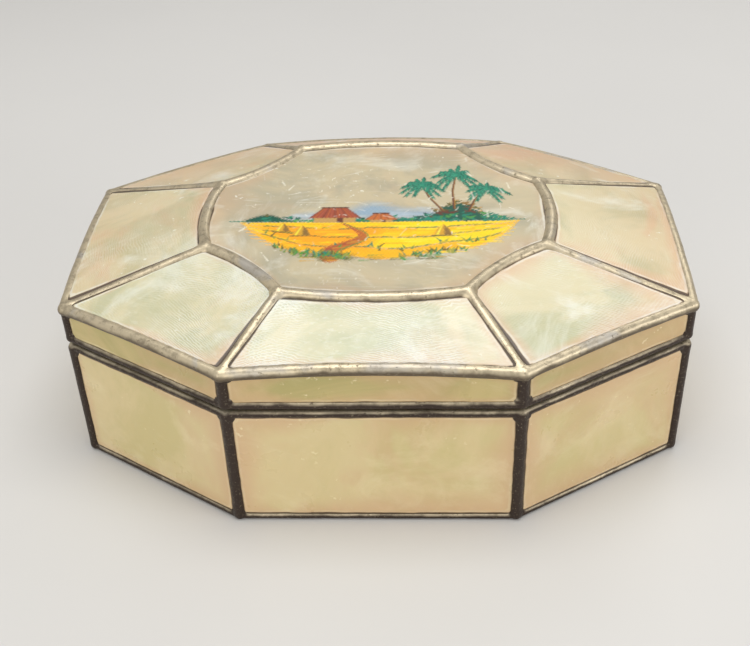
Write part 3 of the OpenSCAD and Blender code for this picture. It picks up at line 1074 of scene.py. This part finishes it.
# The painter's colours, from 0 to 255
TEAL, LEAF, DEEP = (24, 122, 98), (70, 140, 66), (16, 82, 66)
MINT, OCHRE, OLIVE = (84, 168, 132), (204, 152, 44), (92, 90, 40)
YELLOW, ORANGE, LEMON = (250, 208, 16), (246, 160, 24), (240, 222, 60)
EARTH, RUST, BARK = (188, 104, 44), (156, 74, 50), (96, 54, 38)
SKY, HILL, CLOTH = (186, 196, 200), (142, 164, 180), (244, 240, 224)
AMBER, SAND, UMBER, CLAY = (252, 182, 20), (178, 142, 84), (132, 100, 46), (176, 96, 72)
MOSS, STRAW, JADE = (96, 132, 62), (150, 150, 60), (40, 138, 108)


def palm(canvas, foot, head, wide, high, tones):
    """A leaning trunk and a crown of drooping fronds, each with a fringe of leaflets"""
    dice = canvas.dice
    bend = np.array([(foot[0] + head[0]) / 2 - 0.9, (foot[1] + head[1]) / 2])
    canvas.stroke([foot, bend, head], 0.95, 0.6, BARK, ragged=0.15)
    canvas.stroke([foot + [0.3, 0], bend + [0.25, 0], head], 0.3, 0.2, OCHRE, strength=0.5)
    heart = [head - [0.3 * wide, 0.25 * high], head, head + [0.3 * wide, -0.25 * high]]
    canvas.stroke(heart, 3.0, 3.0, DEEP, 0.6, 0.9, 0.9)
    for k, angle in enumerate(np.radians([-50, -22, 4, 28, 54, 82, 108, 134, 158, 184, 208, 236])):
        reach = 1 + 0.12 * dice.normal()
        tip = np.array([math.cos(angle) * wide * reach, math.sin(angle) * high * reach])
        droop = 0.62 * high * (0.3 + 0.7 * abs(math.cos(angle)))
        spine = [head + tip * t - np.array([0, droop * t * t]) for t in np.linspace(0, 1, 13)]
        canvas.stroke(spine, 1.6, 0.6, tones[k % len(tones)], 0.3, 0.6)
        for j, at in enumerate(spine[2:]):
            for side in (-1, 1):
                far = 1.0 - 0.035 * j
                fall = np.array([side * 0.9 + 0.9 * math.cos(angle), -2.1 - 0.8 * dice.random()]) * far
                canvas.stroke([at, at + fall], 0.75, 0.2, tones[(k + j + side) % len(tones)], 0.3, 0.3, 0.92)
        canvas.stroke(spine[1:9], 0.35, 0.15, MINT, 0.25, 0.2, 0.5)


def scatter(canvas, count, area, run, sizes, tones, strength=0.8, edge=0.45, ragged=0.7, tilt=0.25):
    """Short strokes thrown over an area given by its left, right, low and high"""
    dice = canvas.dice
    left, right, low, high = area
    for _ in range(count):
        x, y = dice.uniform(left, right), dice.uniform(low, high)
        far = run * dice.uniform(0.6, 1.4)
        tip = (x + far, y + dice.normal(0, tilt * abs(run)))
        tone = tones[dice.integers(len(tones))]
        canvas.stroke([(x, y), tip], sizes[0], sizes[1], tone, edge, ragged, strength)


# The field's far edge, depth, half width and middle, and half the hedge's length, in millimetres
FIELD_TOP, FIELD_DEEP, FIELD_HALF, FIELD_MIDDLE, HEDGE_HALF = -5.6, 22.0, 46.0, 1.0, 49.0


def hump(x, middle_x, wide, high):
    """A rounded rise, high at its middle and gone at about twice its width"""
    return high * math.exp(-((x - middle_x) / wide) ** 2)


def hill_top(x):
    """Outline of the far hills"""
    return FIELD_TOP + hump(x, -2, 12, 13) + hump(x, 17, 9, 7.5) + hump(x, -24, 8, 6)


def shrub_top(x):
    """Outline of the hedge and the thicket"""
    return FIELD_TOP + 2.2 + hump(x, 27, 8.5, 10.5) + hump(x, -37, 6, 4.5) + hump(x, 6, 4, 1.6)


def field_edge(x, part):
    """A line across the field: part 0 is its far edge and part 1 its near edge"""
    taper = max(0.0, 1 - ((x - FIELD_MIDDLE) / FIELD_HALF) ** 2) ** 0.62
    return FIELD_TOP - FIELD_DEEP * part * taper + 0.9 * part * math.sin(0.21 * x + 4 * part)


def steps(low, high, count):
    """Evenly spaced numbers, both ends among them"""
    return [low + (high - low) * k / (count - 1) for k in range(count)]


def far_hills(canvas):
    """Hazy blue hills, brushed over with paler strokes"""
    outline = [(x, hill_top(x)) for x in steps(-40, 36, 30)] + [(36, FIELD_TOP), (-40, FIELD_TOP)]
    canvas.patch(outline, HILL, 2.4, 1.2, 0.42)
    dice = canvas.dice
    for k in range(36):
        x = dice.uniform(-30, 26)
        y = FIELD_TOP + (hill_top(x) - FIELD_TOP) * dice.uniform(0.2, 1.0)
        tip = (x + 6, y + dice.normal(0, 0.7))
        canvas.stroke([(x, y), tip], 1.5, 0.5, (HILL, SKY, SKY)[k % 3], 1.0, 0.8, 0.4)


def terraces(canvas):
    """Ripe plots one behind the other, with a grassy bank along the edge of each"""
    line = steps(FIELD_MIDDLE - FIELD_HALF, FIELD_MIDDLE + FIELD_HALF, 34)
    shares = (0.0, 0.2, 0.46, 0.74, 1.0)
    tones = (YELLOW, AMBER, YELLOW, AMBER)
    for k, tone in enumerate(tones):
        far = [(x, field_edge(x, shares[k])) for x in line]
        near = [(x, field_edge(x, shares[k + 1])) for x in reversed(line)]
        canvas.patch(far + near, tone, 1.0, 0.8)
    shade = [(x, field_edge(x, 0.06)) for x in steps(-40, 5, 12)]
    shade += [(x, field_edge(x, 0.84)) for x in steps(-2, -36, 12)]
    canvas.patch(shade, ORANGE, 3.4, 1.4, 0.7)
    scatter(canvas, 60, (-34, 10, -21, -7), 7, (0.9, 0.3), (ORANGE, YELLOW, AMBER), 0.6, 0.5, 0.5, 0.04)
    scatter(canvas, 50, (6, 37, -19, -7), 7, (1.1, 0.3), (YELLOW, LEMON, YELLOW), 0.7, 0.5, 0.5, 0.04)
    dice = canvas.dice
    for k in range(18):
        side = (-1, 1)[k % 2]
        y = FIELD_TOP - 2.4 - 0.95 * k
        x = FIELD_MIDDLE + side * (FIELD_HALF - 2.5 - 0.055 * k * k + 2 * dice.random())
        tone = (AMBER, YELLOW)[k % 2]
        canvas.stroke([(x - side * 9, y - 0.4), (x, y)], 1.1, 0.25, tone, 0.35, 0.5, 0.85)
    for part in shares[1:4]:
        for x in line[3:-3]:
            if dice.random() < 0.2:
                continue
            run = dice.uniform(1.4, 3.4)
            rise = dice.normal(0, 0.16)
            tip = (x + run, field_edge(x + run, part) + rise)
            foot = (x - 0.6, field_edge(x - 0.6, part) + rise)
            canvas.stroke([foot, tip], 0.8, 0.2, OLIVE, 0.5, 0.6, 0.55)
            turf = [(x, field_edge(x, part) + 0.4 + rise), (tip[0], tip[1] + 0.4)]
            canvas.stroke(turf, 0.55, 0.2, LEAF, 0.4, 0.8, dice.uniform(0.3, 0.9))


def track(canvas):
    """An earth track that winds down from the huts and widens towards the near edge"""
    bends = []
    for t in steps(0, 1, 22):
        bends.append((-11 + 5 * t + (3 + 6.5 * t) * math.sin(5.2 * t), FIELD_TOP - 1.2 - 20 * t))
    canvas.stroke(bends, 0.8, 6.4, EARTH, 0.8, 0.25, 0.95)
    rut = [(x - 0.6 - 0.08 * k, y) for k, (x, y) in enumerate(bends)]
    canvas.stroke(rut, 0.3, 1.5, RUST, 0.7, 0.5, 0.7)
    verge = [(x + 0.5 + 0.14 * k, y) for k, (x, y) in enumerate(bends)]
    canvas.stroke(verge, 0.3, 0.9, LEAF, 0.6, 0.7, 0.75)
    for k in range(16):
        x, y = bends[9 + k % 13]
        tone = (OCHRE, RUST, EARTH)[k % 3]
        canvas.stroke([(x - 2, y - 0.5), (x + 1.6, y - 0.2)], 0.6, 0.25, tone, 0.5, 0.5, 0.6)


def shrubs(canvas):
    """A hedge along the whole far edge, rising to a thicket under the palms"""
    dice = canvas.dice
    canvas.stroke([(x, FIELD_TOP + 0.6) for x in steps(-HEDGE_HALF, 0, 6)], 0.4, 2.0, TEAL, 0.5, 0.5)
    canvas.stroke([(x, FIELD_TOP + 0.6) for x in steps(HEDGE_HALF, 0, 6)], 0.4, 2.0, TEAL, 0.5, 0.5)
    outline = [(x, shrub_top(x) - 1.8) for x in steps(-44, 44, 40)] + [(44, FIELD_TOP), (-44, FIELD_TOP)]
    canvas.patch(outline, DEEP, 0.8, 0.9, 0.9)
    for k in range(190):
        x = dice.normal(27, 8) if k % 3 else dice.uniform(-44, 44)
        if abs(x) > 45:
            continue
        share_up = dice.random()
        y = FIELD_TOP + (shrub_top(x) - FIELD_TOP) * share_up
        tall = shrub_top(x) - FIELD_TOP > 6
        if tall and share_up > 0.8:
            tone = (SAND, OLIVE, UMBER)[k % 3]
        elif tall and share_up > 0.4:
            tone = (OLIVE, BARK, DEEP)[k % 3]
        else:
            tone = (TEAL, DEEP, TEAL, LEAF)[k % 4]
        canvas.stroke([(x, y), (x + 1.5 * dice.normal(), y + 0.8)], 1.4, 0.6, tone, 0.35, 0.6, 0.9)


def hut(canvas, x, wide, high, tone):
    """A plain hut with a thatched gable, x being its middle"""
    base, eave = FIELD_TOP - 0.6, FIELD_TOP - 0.6 + 0.36 * high
    left, right, ridge = x - wide / 2, x + wide / 2, base + high
    canvas.patch([(left, base), (right, base), (right, eave), (left, eave)], SAND, 0.4, 0.3)
    jamb, far_jamb = x + 0.05 * wide, x + 0.2 * wide
    canvas.patch([(jamb, base), (far_jamb, base), (far_jamb, eave), (jamb, eave)], BARK, 0.35, 0.1)
    peak_left, peak_right = x - 0.3 * wide, x + 0.26 * wide
    thatch = [(left - 1.8, eave - 0.5), (peak_left, ridge), (peak_right, ridge), (right + 1.8, eave - 0.5)]
    canvas.patch(thatch, tone, 0.5, 0.35)
    rows = 13
    for k in range(rows):
        share_along = k / (rows - 1)
        top = (peak_left + (peak_right - peak_left) * share_along, ridge - 0.2)
        foot = (left - 1.4 + (wide + 2.8) * share_along, eave - 0.4)
        canvas.stroke([top, foot], 0.3, 0.42, (BARK, EARTH, CLAY)[k % 3], 0.3, 0.2, 0.6)
    canvas.stroke([(peak_left - 0.4, ridge), (peak_right + 0.4, ridge)], 0.8, 0.8, BARK, 0.35, 0.3)


def haystack(canvas, x, y, size):
    """A small stack, lit from the left"""
    tip = y + 2.1 * size
    shoulder = (x + 0.6 * size, y + 1.2 * size)
    outline = [(x - size, y), (x - 0.6 * size, y + 1.2 * size), (x, tip), shoulder, (x + size, y)]
    canvas.patch(outline, OCHRE, 0.5, 0.3)
    shade = [(x + 0.1 * size, y), (x + 0.1 * size, tip - 0.4), shoulder, (x + size, y)]
    canvas.patch(shade, UMBER, 0.6, 0.4, 0.9)
    canvas.stroke([(x - 0.1 * size, tip - 0.8), (x - 0.6 * size, y + 0.5)], 0.4, 0.8, LEMON, 0.4, 0.4, 0.9)
    canvas.stroke([(x - 1.1 * size, y - 0.2), (x + 1.6 * size, y - 0.3)], 0.8, 0.4, OLIVE, 0.5, 0.5, 0.8)


def grass(canvas, count, left, right, part):
    """Tufts along a line across the field"""
    dice = canvas.dice
    for k in range(count):
        x = dice.uniform(left, right)
        y = field_edge(x, part) + dice.uniform(-1.6, 1.4)
        tone = (LEAF, MOSS, OLIVE, TEAL, STRAW)[k % 5]
        tip = (x + dice.normal(0, 1.0), y + dice.uniform(1.4, 2.8))
        canvas.stroke([(x, y), tip], 0.9, 0.15, tone, 0.35, 0.3, 0.85)


def wear(canvas):
    """Fine pale scratches and flecks over the whole pane"""
    dice = canvas.dice
    for k in range(210):
        x, y = dice.uniform(-52, 52), dice.uniform(-42, 42)
        angle, run = dice.uniform(0, 6.3), dice.exponential(0.55) + 0.12
        turn = angle + dice.normal(0, 0.6)
        mid_x, mid_y = x + run * math.cos(angle), y + run * math.sin(angle)
        tip = (mid_x + run * math.cos(turn), mid_y + run * math.sin(turn))
        canvas.stroke([(x, y), (mid_x, mid_y), tip], 0.38, 0.16, CLOTH, 0.35, 0.4, dice.uniform(0.15, 0.75))
    for k in range(9):
        x, y = (-1) ** k * dice.uniform(30, 46), dice.uniform(-30, 24)
        angle = dice.uniform(0.6, 2.4)
        tip = (x + 2.6 * math.cos(angle), y + 4.2 * math.sin(angle))
        canvas.stroke([(x, y), tip], 0.7, 0.3, CLOTH, 0.5, 0.6, 0.5)


def paint_scene(canvas):
    """A made-up country view: hills, huts, palms over a thicket and terraced plots with a winding track"""
    far_hills(canvas)
    terraces(canvas)
    track(canvas)
    shrubs(canvas)
    hut(canvas, 1.5, 7.5, 5.6, EARTH)
    hut(canvas, -14, 14, 9.5, RUST)
    for foot, head, wide, high in (((22, 1), (15, 18), 6.2, 6.8), ((31, 1), (37, 15), 5.8, 6.0),
                                   ((26, 2), (27, 25), 7.4, 7.6)):
        palm(canvas, np.array(foot, float), np.array(head, float), wide, high, (TEAL, DEEP, JADE))
    for x, y, size in ((-31, -11.5, 2.6), (-24.5, -14, 3.0), (22, -14.5, 3.2)):
        haystack(canvas, x, y, size)
    canvas.patch([(x, field_edge(x, 0.93)) for x in steps(-30, -6, 8)]
                 + [(x, field_edge(x, 1.12)) for x in steps(-8, -26, 6)], OLIVE, 2.2, 1.2, 0.5)
    grass(canvas, 90, -33, -8, 1.03)
    grass(canvas, 50, 8, 29, 1.0)
    grass(canvas, 24, -38, 36, 0.74)
    scatter(canvas, 40, (-24, 20, -29.0, -26.0), 4, (0.9, 0.2), (LEAF, OLIVE, OCHRE), 0.55, 0.5, 0.6, 0.08)
    wear(canvas)


def spaced(low, high, fine_low, fine_high, fine, coarse):
    """Grid lines from low to high, close together between fine_low and fine_high"""
    parts = []
    for a, b, step in ((low, fine_low, coarse), (fine_low, fine_high, fine), (fine_high, high, coarse)):
        parts.append(np.linspace(a, b, max(2, round((b - a) / step) + 1))[:-1])
    return np.concatenate(parts + [[high]])


def medallion_half_depth(x):
    """How far the pane reaches either side of its long axis, at x"""
    inset = shell().under_came
    front, side, end = medal_corner(0), medal_corner(1), medal_corner(2)
    x = abs(x)
    if x <= side.x:
        return -medal_point(0, (x - front.x) / (side.x - front.x)).y - inset
    if x > end.x:
        past = (x - end.x) / lid().medal_bow
        return -end.y * math.sqrt(max(0.02, 1 - past)) - inset * 0.4
    s = (x - side.x) / (end.x - side.x)
    p = medal_point(1, s)
    for _ in range(6):
        s = min(1.0, max(0.0, s + (x - p.x) / (end.x - side.x)))
        p = medal_point(1, s)
    return -p.y - inset * 1.2


def medallion():
    """The pane's upper side is a grid that is fine where it is painted; its underside is a plain fan"""
    sizes = shell()
    half = medal_corner(2).x + lid().medal_bow - sizes.under_came
    xs = spaced(-half, half, PAINT_LEFT, PAINT_RIGHT, sizes.paint_cell, sizes.cell)
    depth = np.array([medallion_half_depth(x) for x in xs])
    deepest = depth.max()
    vs = spaced(-1, 1, PAINT_NEAR / deepest, PAINT_FAR / deepest, sizes.paint_cell / deepest,
                sizes.cell / deepest)
    nx, ny = len(xs), len(vs)
    count = nx * ny
    grid_x = np.tile(xs, ny)
    grid_y = (vs[:, None] * depth[None, :]).ravel()
    canvas = Canvas(grid_x / MM, grid_y / MM)
    paint_scene(canvas)

    lift = np.array([ripple(Vector((x, y, 0)), MEDAL_SEED) for x, y in zip(grid_x, grid_y)])
    top = np.column_stack([grid_x, grid_y, MEDAL_Z + SHELL_T / 2 + lift + PAINT_THICK * canvas.cover])
    rim = grid_rim(nx, ny)
    under = top[rim].copy()
    under[:, 2] = MEDAL_Z - SHELL_T / 2
    verts = np.vstack([top, under, [[0, 0, MEDAL_Z - SHELL_T / 2]]])
    faces = grid_faces(nx, ny)
    for k, a in enumerate(rim):
        n = (k + 1) % len(rim)
        faces.append((a, count + k, count + n, rim[n]))
        faces.append((count + k, count + len(rim), count + n))
    obj = new_object("shell_medallion", verts, faces)
    mesh = obj.data
    set_pane_uv(mesh, verts[:, :2])

    to_edge = np.minimum(half - np.abs(grid_x), np.tile(depth, ny) * (1 - np.repeat(np.abs(vs), nx)))
    hidden = len(verts) - count
    set_floats(mesh, "border", np.concatenate([sizes.under_came + to_edge, np.full(hidden, 10 * MM)]))
    set_floats(mesh, "cover", np.concatenate([canvas.cover, np.zeros(hidden)]))
    rgb = np.ones((len(verts), 4), dtype=np.float32)
    rgb[:count, :3] = canvas.rgb / np.maximum(canvas.cover, 0.02)[:, None]
    mesh.attributes.new("paint", "FLOAT_COLOR", "POINT").data.foreach_set("color", rgb.ravel())
    upper = [len(p.vertices) == 4 and max(p.vertices) < count for p in mesh.polygons]
    mesh.polygons.foreach_set("use_smooth", upper)
    finish_piece(obj, "lid", painted_shell(), ["medallion_pane"])


# ---------- hinge ----------

def dress(node, material):
    """Gives a CAD node that stays a better material"""
    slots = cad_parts[node].data.materials
    slots.clear()
    slots.append(material)


def hinge():
    """The three tubes and their pin keep their CAD shape, with solder along each tube's foot"""
    c = cames()
    dress("hinge_pin", dull_brass())
    for node, body, way in (("body_knuckle_left", "box", -1), ("body_knuckle_right", "box", -1),
                            ("lid_knuckle", "lid", 1)):
        dress(node, dark_solder())
        low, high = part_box(node)
        foot = Vector((low.x, low.y + 0.3 * MM, low.z if way < 0 else high.z))
        run = Vector((high.x - low.x, 0, 0))
        end = Vector((0.6 * MM, 0, 0))
        w = Wiring()
        w.line(between(foot + end, foot + run - end, 8), 0.75 * MM)
        for k in range(5):
            w.ball(foot + Vector((1.4 + 2.3 * k, 0.25, -0.3 * way)) * MM, 0.85 * MM)
        fused_cames(f"{node}_solder", w, dark_solder(), 43 + len(node), body, [], c.hinge_voxel)


# ---------- stage ----------

CAMERA_PLACE = (0.0159, -0.3401, 0.2801)
CAMERA_DOWN, CAMERA_LEFT, CAMERA_ROLL = 36.64, 3.03, -2.14
CAMERA_LENS = 56.67
FLOOR_HALF, FLOOR_NEAR, FLOOR_FAR, WALL_TOP, SWEEP = 3.5, -2.5, 1.6, 3.0, 0.8
SKY_TINT, SKY_STRENGTH = (1.0, 0.99, 0.975, 1.0), 0.62
# Name, place, the point it faces, size, watts and tint of each light
LIGHTS = (
    ("overhead", (0.0, -0.03, 0.70), (0, 0, 0.05), (0.50, 0.38), 2.3, (1, 1, 1)),
    ("front_fill", (-0.45, -0.95, 0.42), (0, 0, 0.03), (0.7, 0.5), 2.9, (1.0, 0.97, 0.92)),
    ("side", (0.9, -0.4, 0.35), (0, 0, 0.03), (0.4, 0.4), 2.1, (1, 1, 1)),
    ("back", (0.45, 0.85, 0.80), (0, 0, 0.05), (0.5, 0.2), 1.6, (1, 1, 1)),
)


def add_camera():
    data = bpy.data.cameras.new("camera")
    data.sensor_width = 36
    data.lens = CAMERA_LENS
    data.clip_start = 10 * MM
    camera = bpy.data.objects.new("camera", data)
    turn = (Matrix.Rotation(math.radians(CAMERA_LEFT), 4, "Z")
            @ Matrix.Rotation(math.radians(90 - CAMERA_DOWN), 4, "X")
            @ Matrix.Rotation(math.radians(CAMERA_ROLL), 4, "Z"))
    camera.matrix_world = Matrix.Translation(CAMERA_PLACE) @ turn
    bpy.context.scene.collection.objects.link(camera)
    bpy.context.scene.camera = camera


def add_floor():
    """A plain floor that sweeps up into a wall behind"""
    rows = [(FLOOR_NEAR, 0.0), (FLOOR_FAR, 0.0)]
    for angle in np.radians(range(10, 91, 10)):
        rows.append((FLOOR_FAR + SWEEP * math.sin(angle), SWEEP - SWEEP * math.cos(angle)))
    rows.append((FLOOR_FAR + SWEEP, WALL_TOP))
    verts = [(x, y, z) for y, z in rows for x in (-FLOOR_HALF, FLOOR_HALF)]
    faces = [(2 * k, 2 * k + 1, 2 * k + 3, 2 * k + 2) for k in range(len(rows) - 1)]
    floor = new_object("studio_floor", verts, faces)
    floor.data.polygons.foreach_set("use_smooth", [True] * len(faces))
    floor.data.materials.append(studio_floor())


def add_light(name, place, aim, size, watts, tint):
    data = bpy.data.lights.new(name, "AREA")
    data.shape = "RECTANGLE"
    data.size, data.size_y = size
    data.energy = watts
    data.color = tint
    obj = bpy.data.objects.new(name, data)
    obj.location = place
    obj.rotation_euler = (Vector(aim) - Vector(place)).to_track_quat("-Z", "Y").to_euler()
    bpy.context.scene.collection.objects.link(obj)


def stage():
    add_camera()
    add_floor()
    world = bpy.data.worlds.new("studio")
    world.use_nodes = True
    sky = world.node_tree.nodes["Background"].inputs
    sky["Color"].default_value = SKY_TINT
    sky["Strength"].default_value = SKY_STRENGTH
    bpy.context.scene.world = world
    bpy.context.scene.view_settings.view_transform = "Standard"
    for light in LIGHTS:
        add_light(*light)


# ---------- operators ----------

class BOX_OT_stage(bpy.types.Operator):
    """Set up the camera, the floor and the lights"""
    bl_idname = "shellbox.stage"
    bl_label = "Stage"

    def execute(self, context):
        stage()
        return {"FINISHED"}


class BOX_OT_body_cames(bpy.types.Operator):
    """Fuse the body's rims and corner cames"""
    bl_idname = "shellbox.body_cames"
    bl_label = "Body cames"

    def execute(self, context):
        body_cames()
        return {"FINISHED"}


class BOX_OT_lid_band_cames(bpy.types.Operator):
    """Fuse the lid's lower rim and short corner cames"""
    bl_idname = "shellbox.lid_band_cames"
    bl_label = "Lid band cames"

    def execute(self, context):
        lid_band_cames()
        return {"FINISHED"}


class BOX_OT_lid_top_cames(bpy.types.Operator):
    """Fuse the top rim, the ribs and the medallion's came"""
    bl_idname = "shellbox.lid_top_cames"
    bl_label = "Lid top cames"

    def execute(self, context):
        lid_top_cames()
        return {"FINISHED"}


class BOX_OT_wall_panes(bpy.types.Operator):
    """Make the eight upright panes of the body"""
    bl_idname = "shellbox.wall_panes"
    bl_label = "Wall panes"

    def execute(self, context):
        wall_panes()
        return {"FINISHED"}


class BOX_OT_band_panes(bpy.types.Operator):
    """Make the eight short upright panes of the lid"""
    bl_idname = "shellbox.band_panes"
    bl_label = "Band panes"

    def execute(self, context):
        band_panes()
        return {"FINISHED"}


class BOX_OT_top_panes(bpy.types.Operator):
    """Make the eight sloping panes of the lid"""
    bl_idname = "shellbox.top_panes"
    bl_label = "Top panes"

    def execute(self, context):
        top_panes()
        return {"FINISHED"}


class BOX_OT_floor_pane(bpy.types.Operator):
    """Make the shell floor"""
    bl_idname = "shellbox.floor_pane"
    bl_label = "Floor pane"

    def execute(self, context):
        floor_pane()
        return {"FINISHED"}


class BOX_OT_medallion(bpy.types.Operator):
    """Make and paint the pane in the middle of the lid"""
    bl_idname = "shellbox.medallion"
    bl_label = "Medallion"

    def execute(self, context):
        medallion()
        return {"FINISHED"}


class BOX_OT_hinge(bpy.types.Operator):
    """Dress the hinge and solder its tubes to the rims"""
    bl_idname = "shellbox.hinge"
    bl_label = "Hinge"

    def execute(self, context):
        hinge()
        return {"FINISHED"}


OPERATORS = (
    BOX_OT_stage, BOX_OT_body_cames, BOX_OT_lid_band_cames, BOX_OT_lid_top_cames, BOX_OT_wall_panes,
    BOX_OT_band_panes, BOX_OT_top_panes, BOX_OT_floor_pane, BOX_OT_medallion, BOX_OT_hinge)


class BOX_PT_panel(bpy.types.Panel):
    """Lists the steps that build the box, and its sizes and colours"""
    bl_idname = "BOX_PT_panel"
    bl_label = "Shell box"
    bl_space_type = "VIEW_3D"
    bl_region_type = "UI"
    bl_category = "Shell box"

    def draw(self, context):
        for step in OPERATORS:
            self.layout.operator(step.bl_idname)
        for name, group in GROUPS:
            box = self.layout.box()
            for key in group.__annotations__:
                box.prop(getattr(context.scene, name), key)


def register():
    for name, group in GROUPS:
        bpy.utils.register_class(group)
        setattr(bpy.types.Scene, name, bpy.props.PointerProperty(type=group))
    for step in OPERATORS:
        bpy.utils.register_class(step)
    bpy.utils.register_class(BOX_PT_panel)


def unregister():
    bpy.utils.unregister_class(BOX_PT_panel)
    for step in reversed(OPERATORS):
        bpy.utils.unregister_class(step)
    for name, group in reversed(GROUPS):
        delattr(bpy.types.Scene, name)
        bpy.utils.unregister_class(group)


def main():
    register()
    bpy.ops.shellbox.stage()
    bpy.ops.shellbox.body_cames()
    bpy.ops.shellbox.lid_band_cames()
    bpy.ops.shellbox.lid_top_cames()
    bpy.ops.shellbox.wall_panes()
    bpy.ops.shellbox.band_panes()
    bpy.ops.shellbox.top_panes()
    bpy.ops.shellbox.floor_pane()
    bpy.ops.shellbox.medallion()
    bpy.ops.shellbox.hinge()


if __name__ == "__main__":
    main()
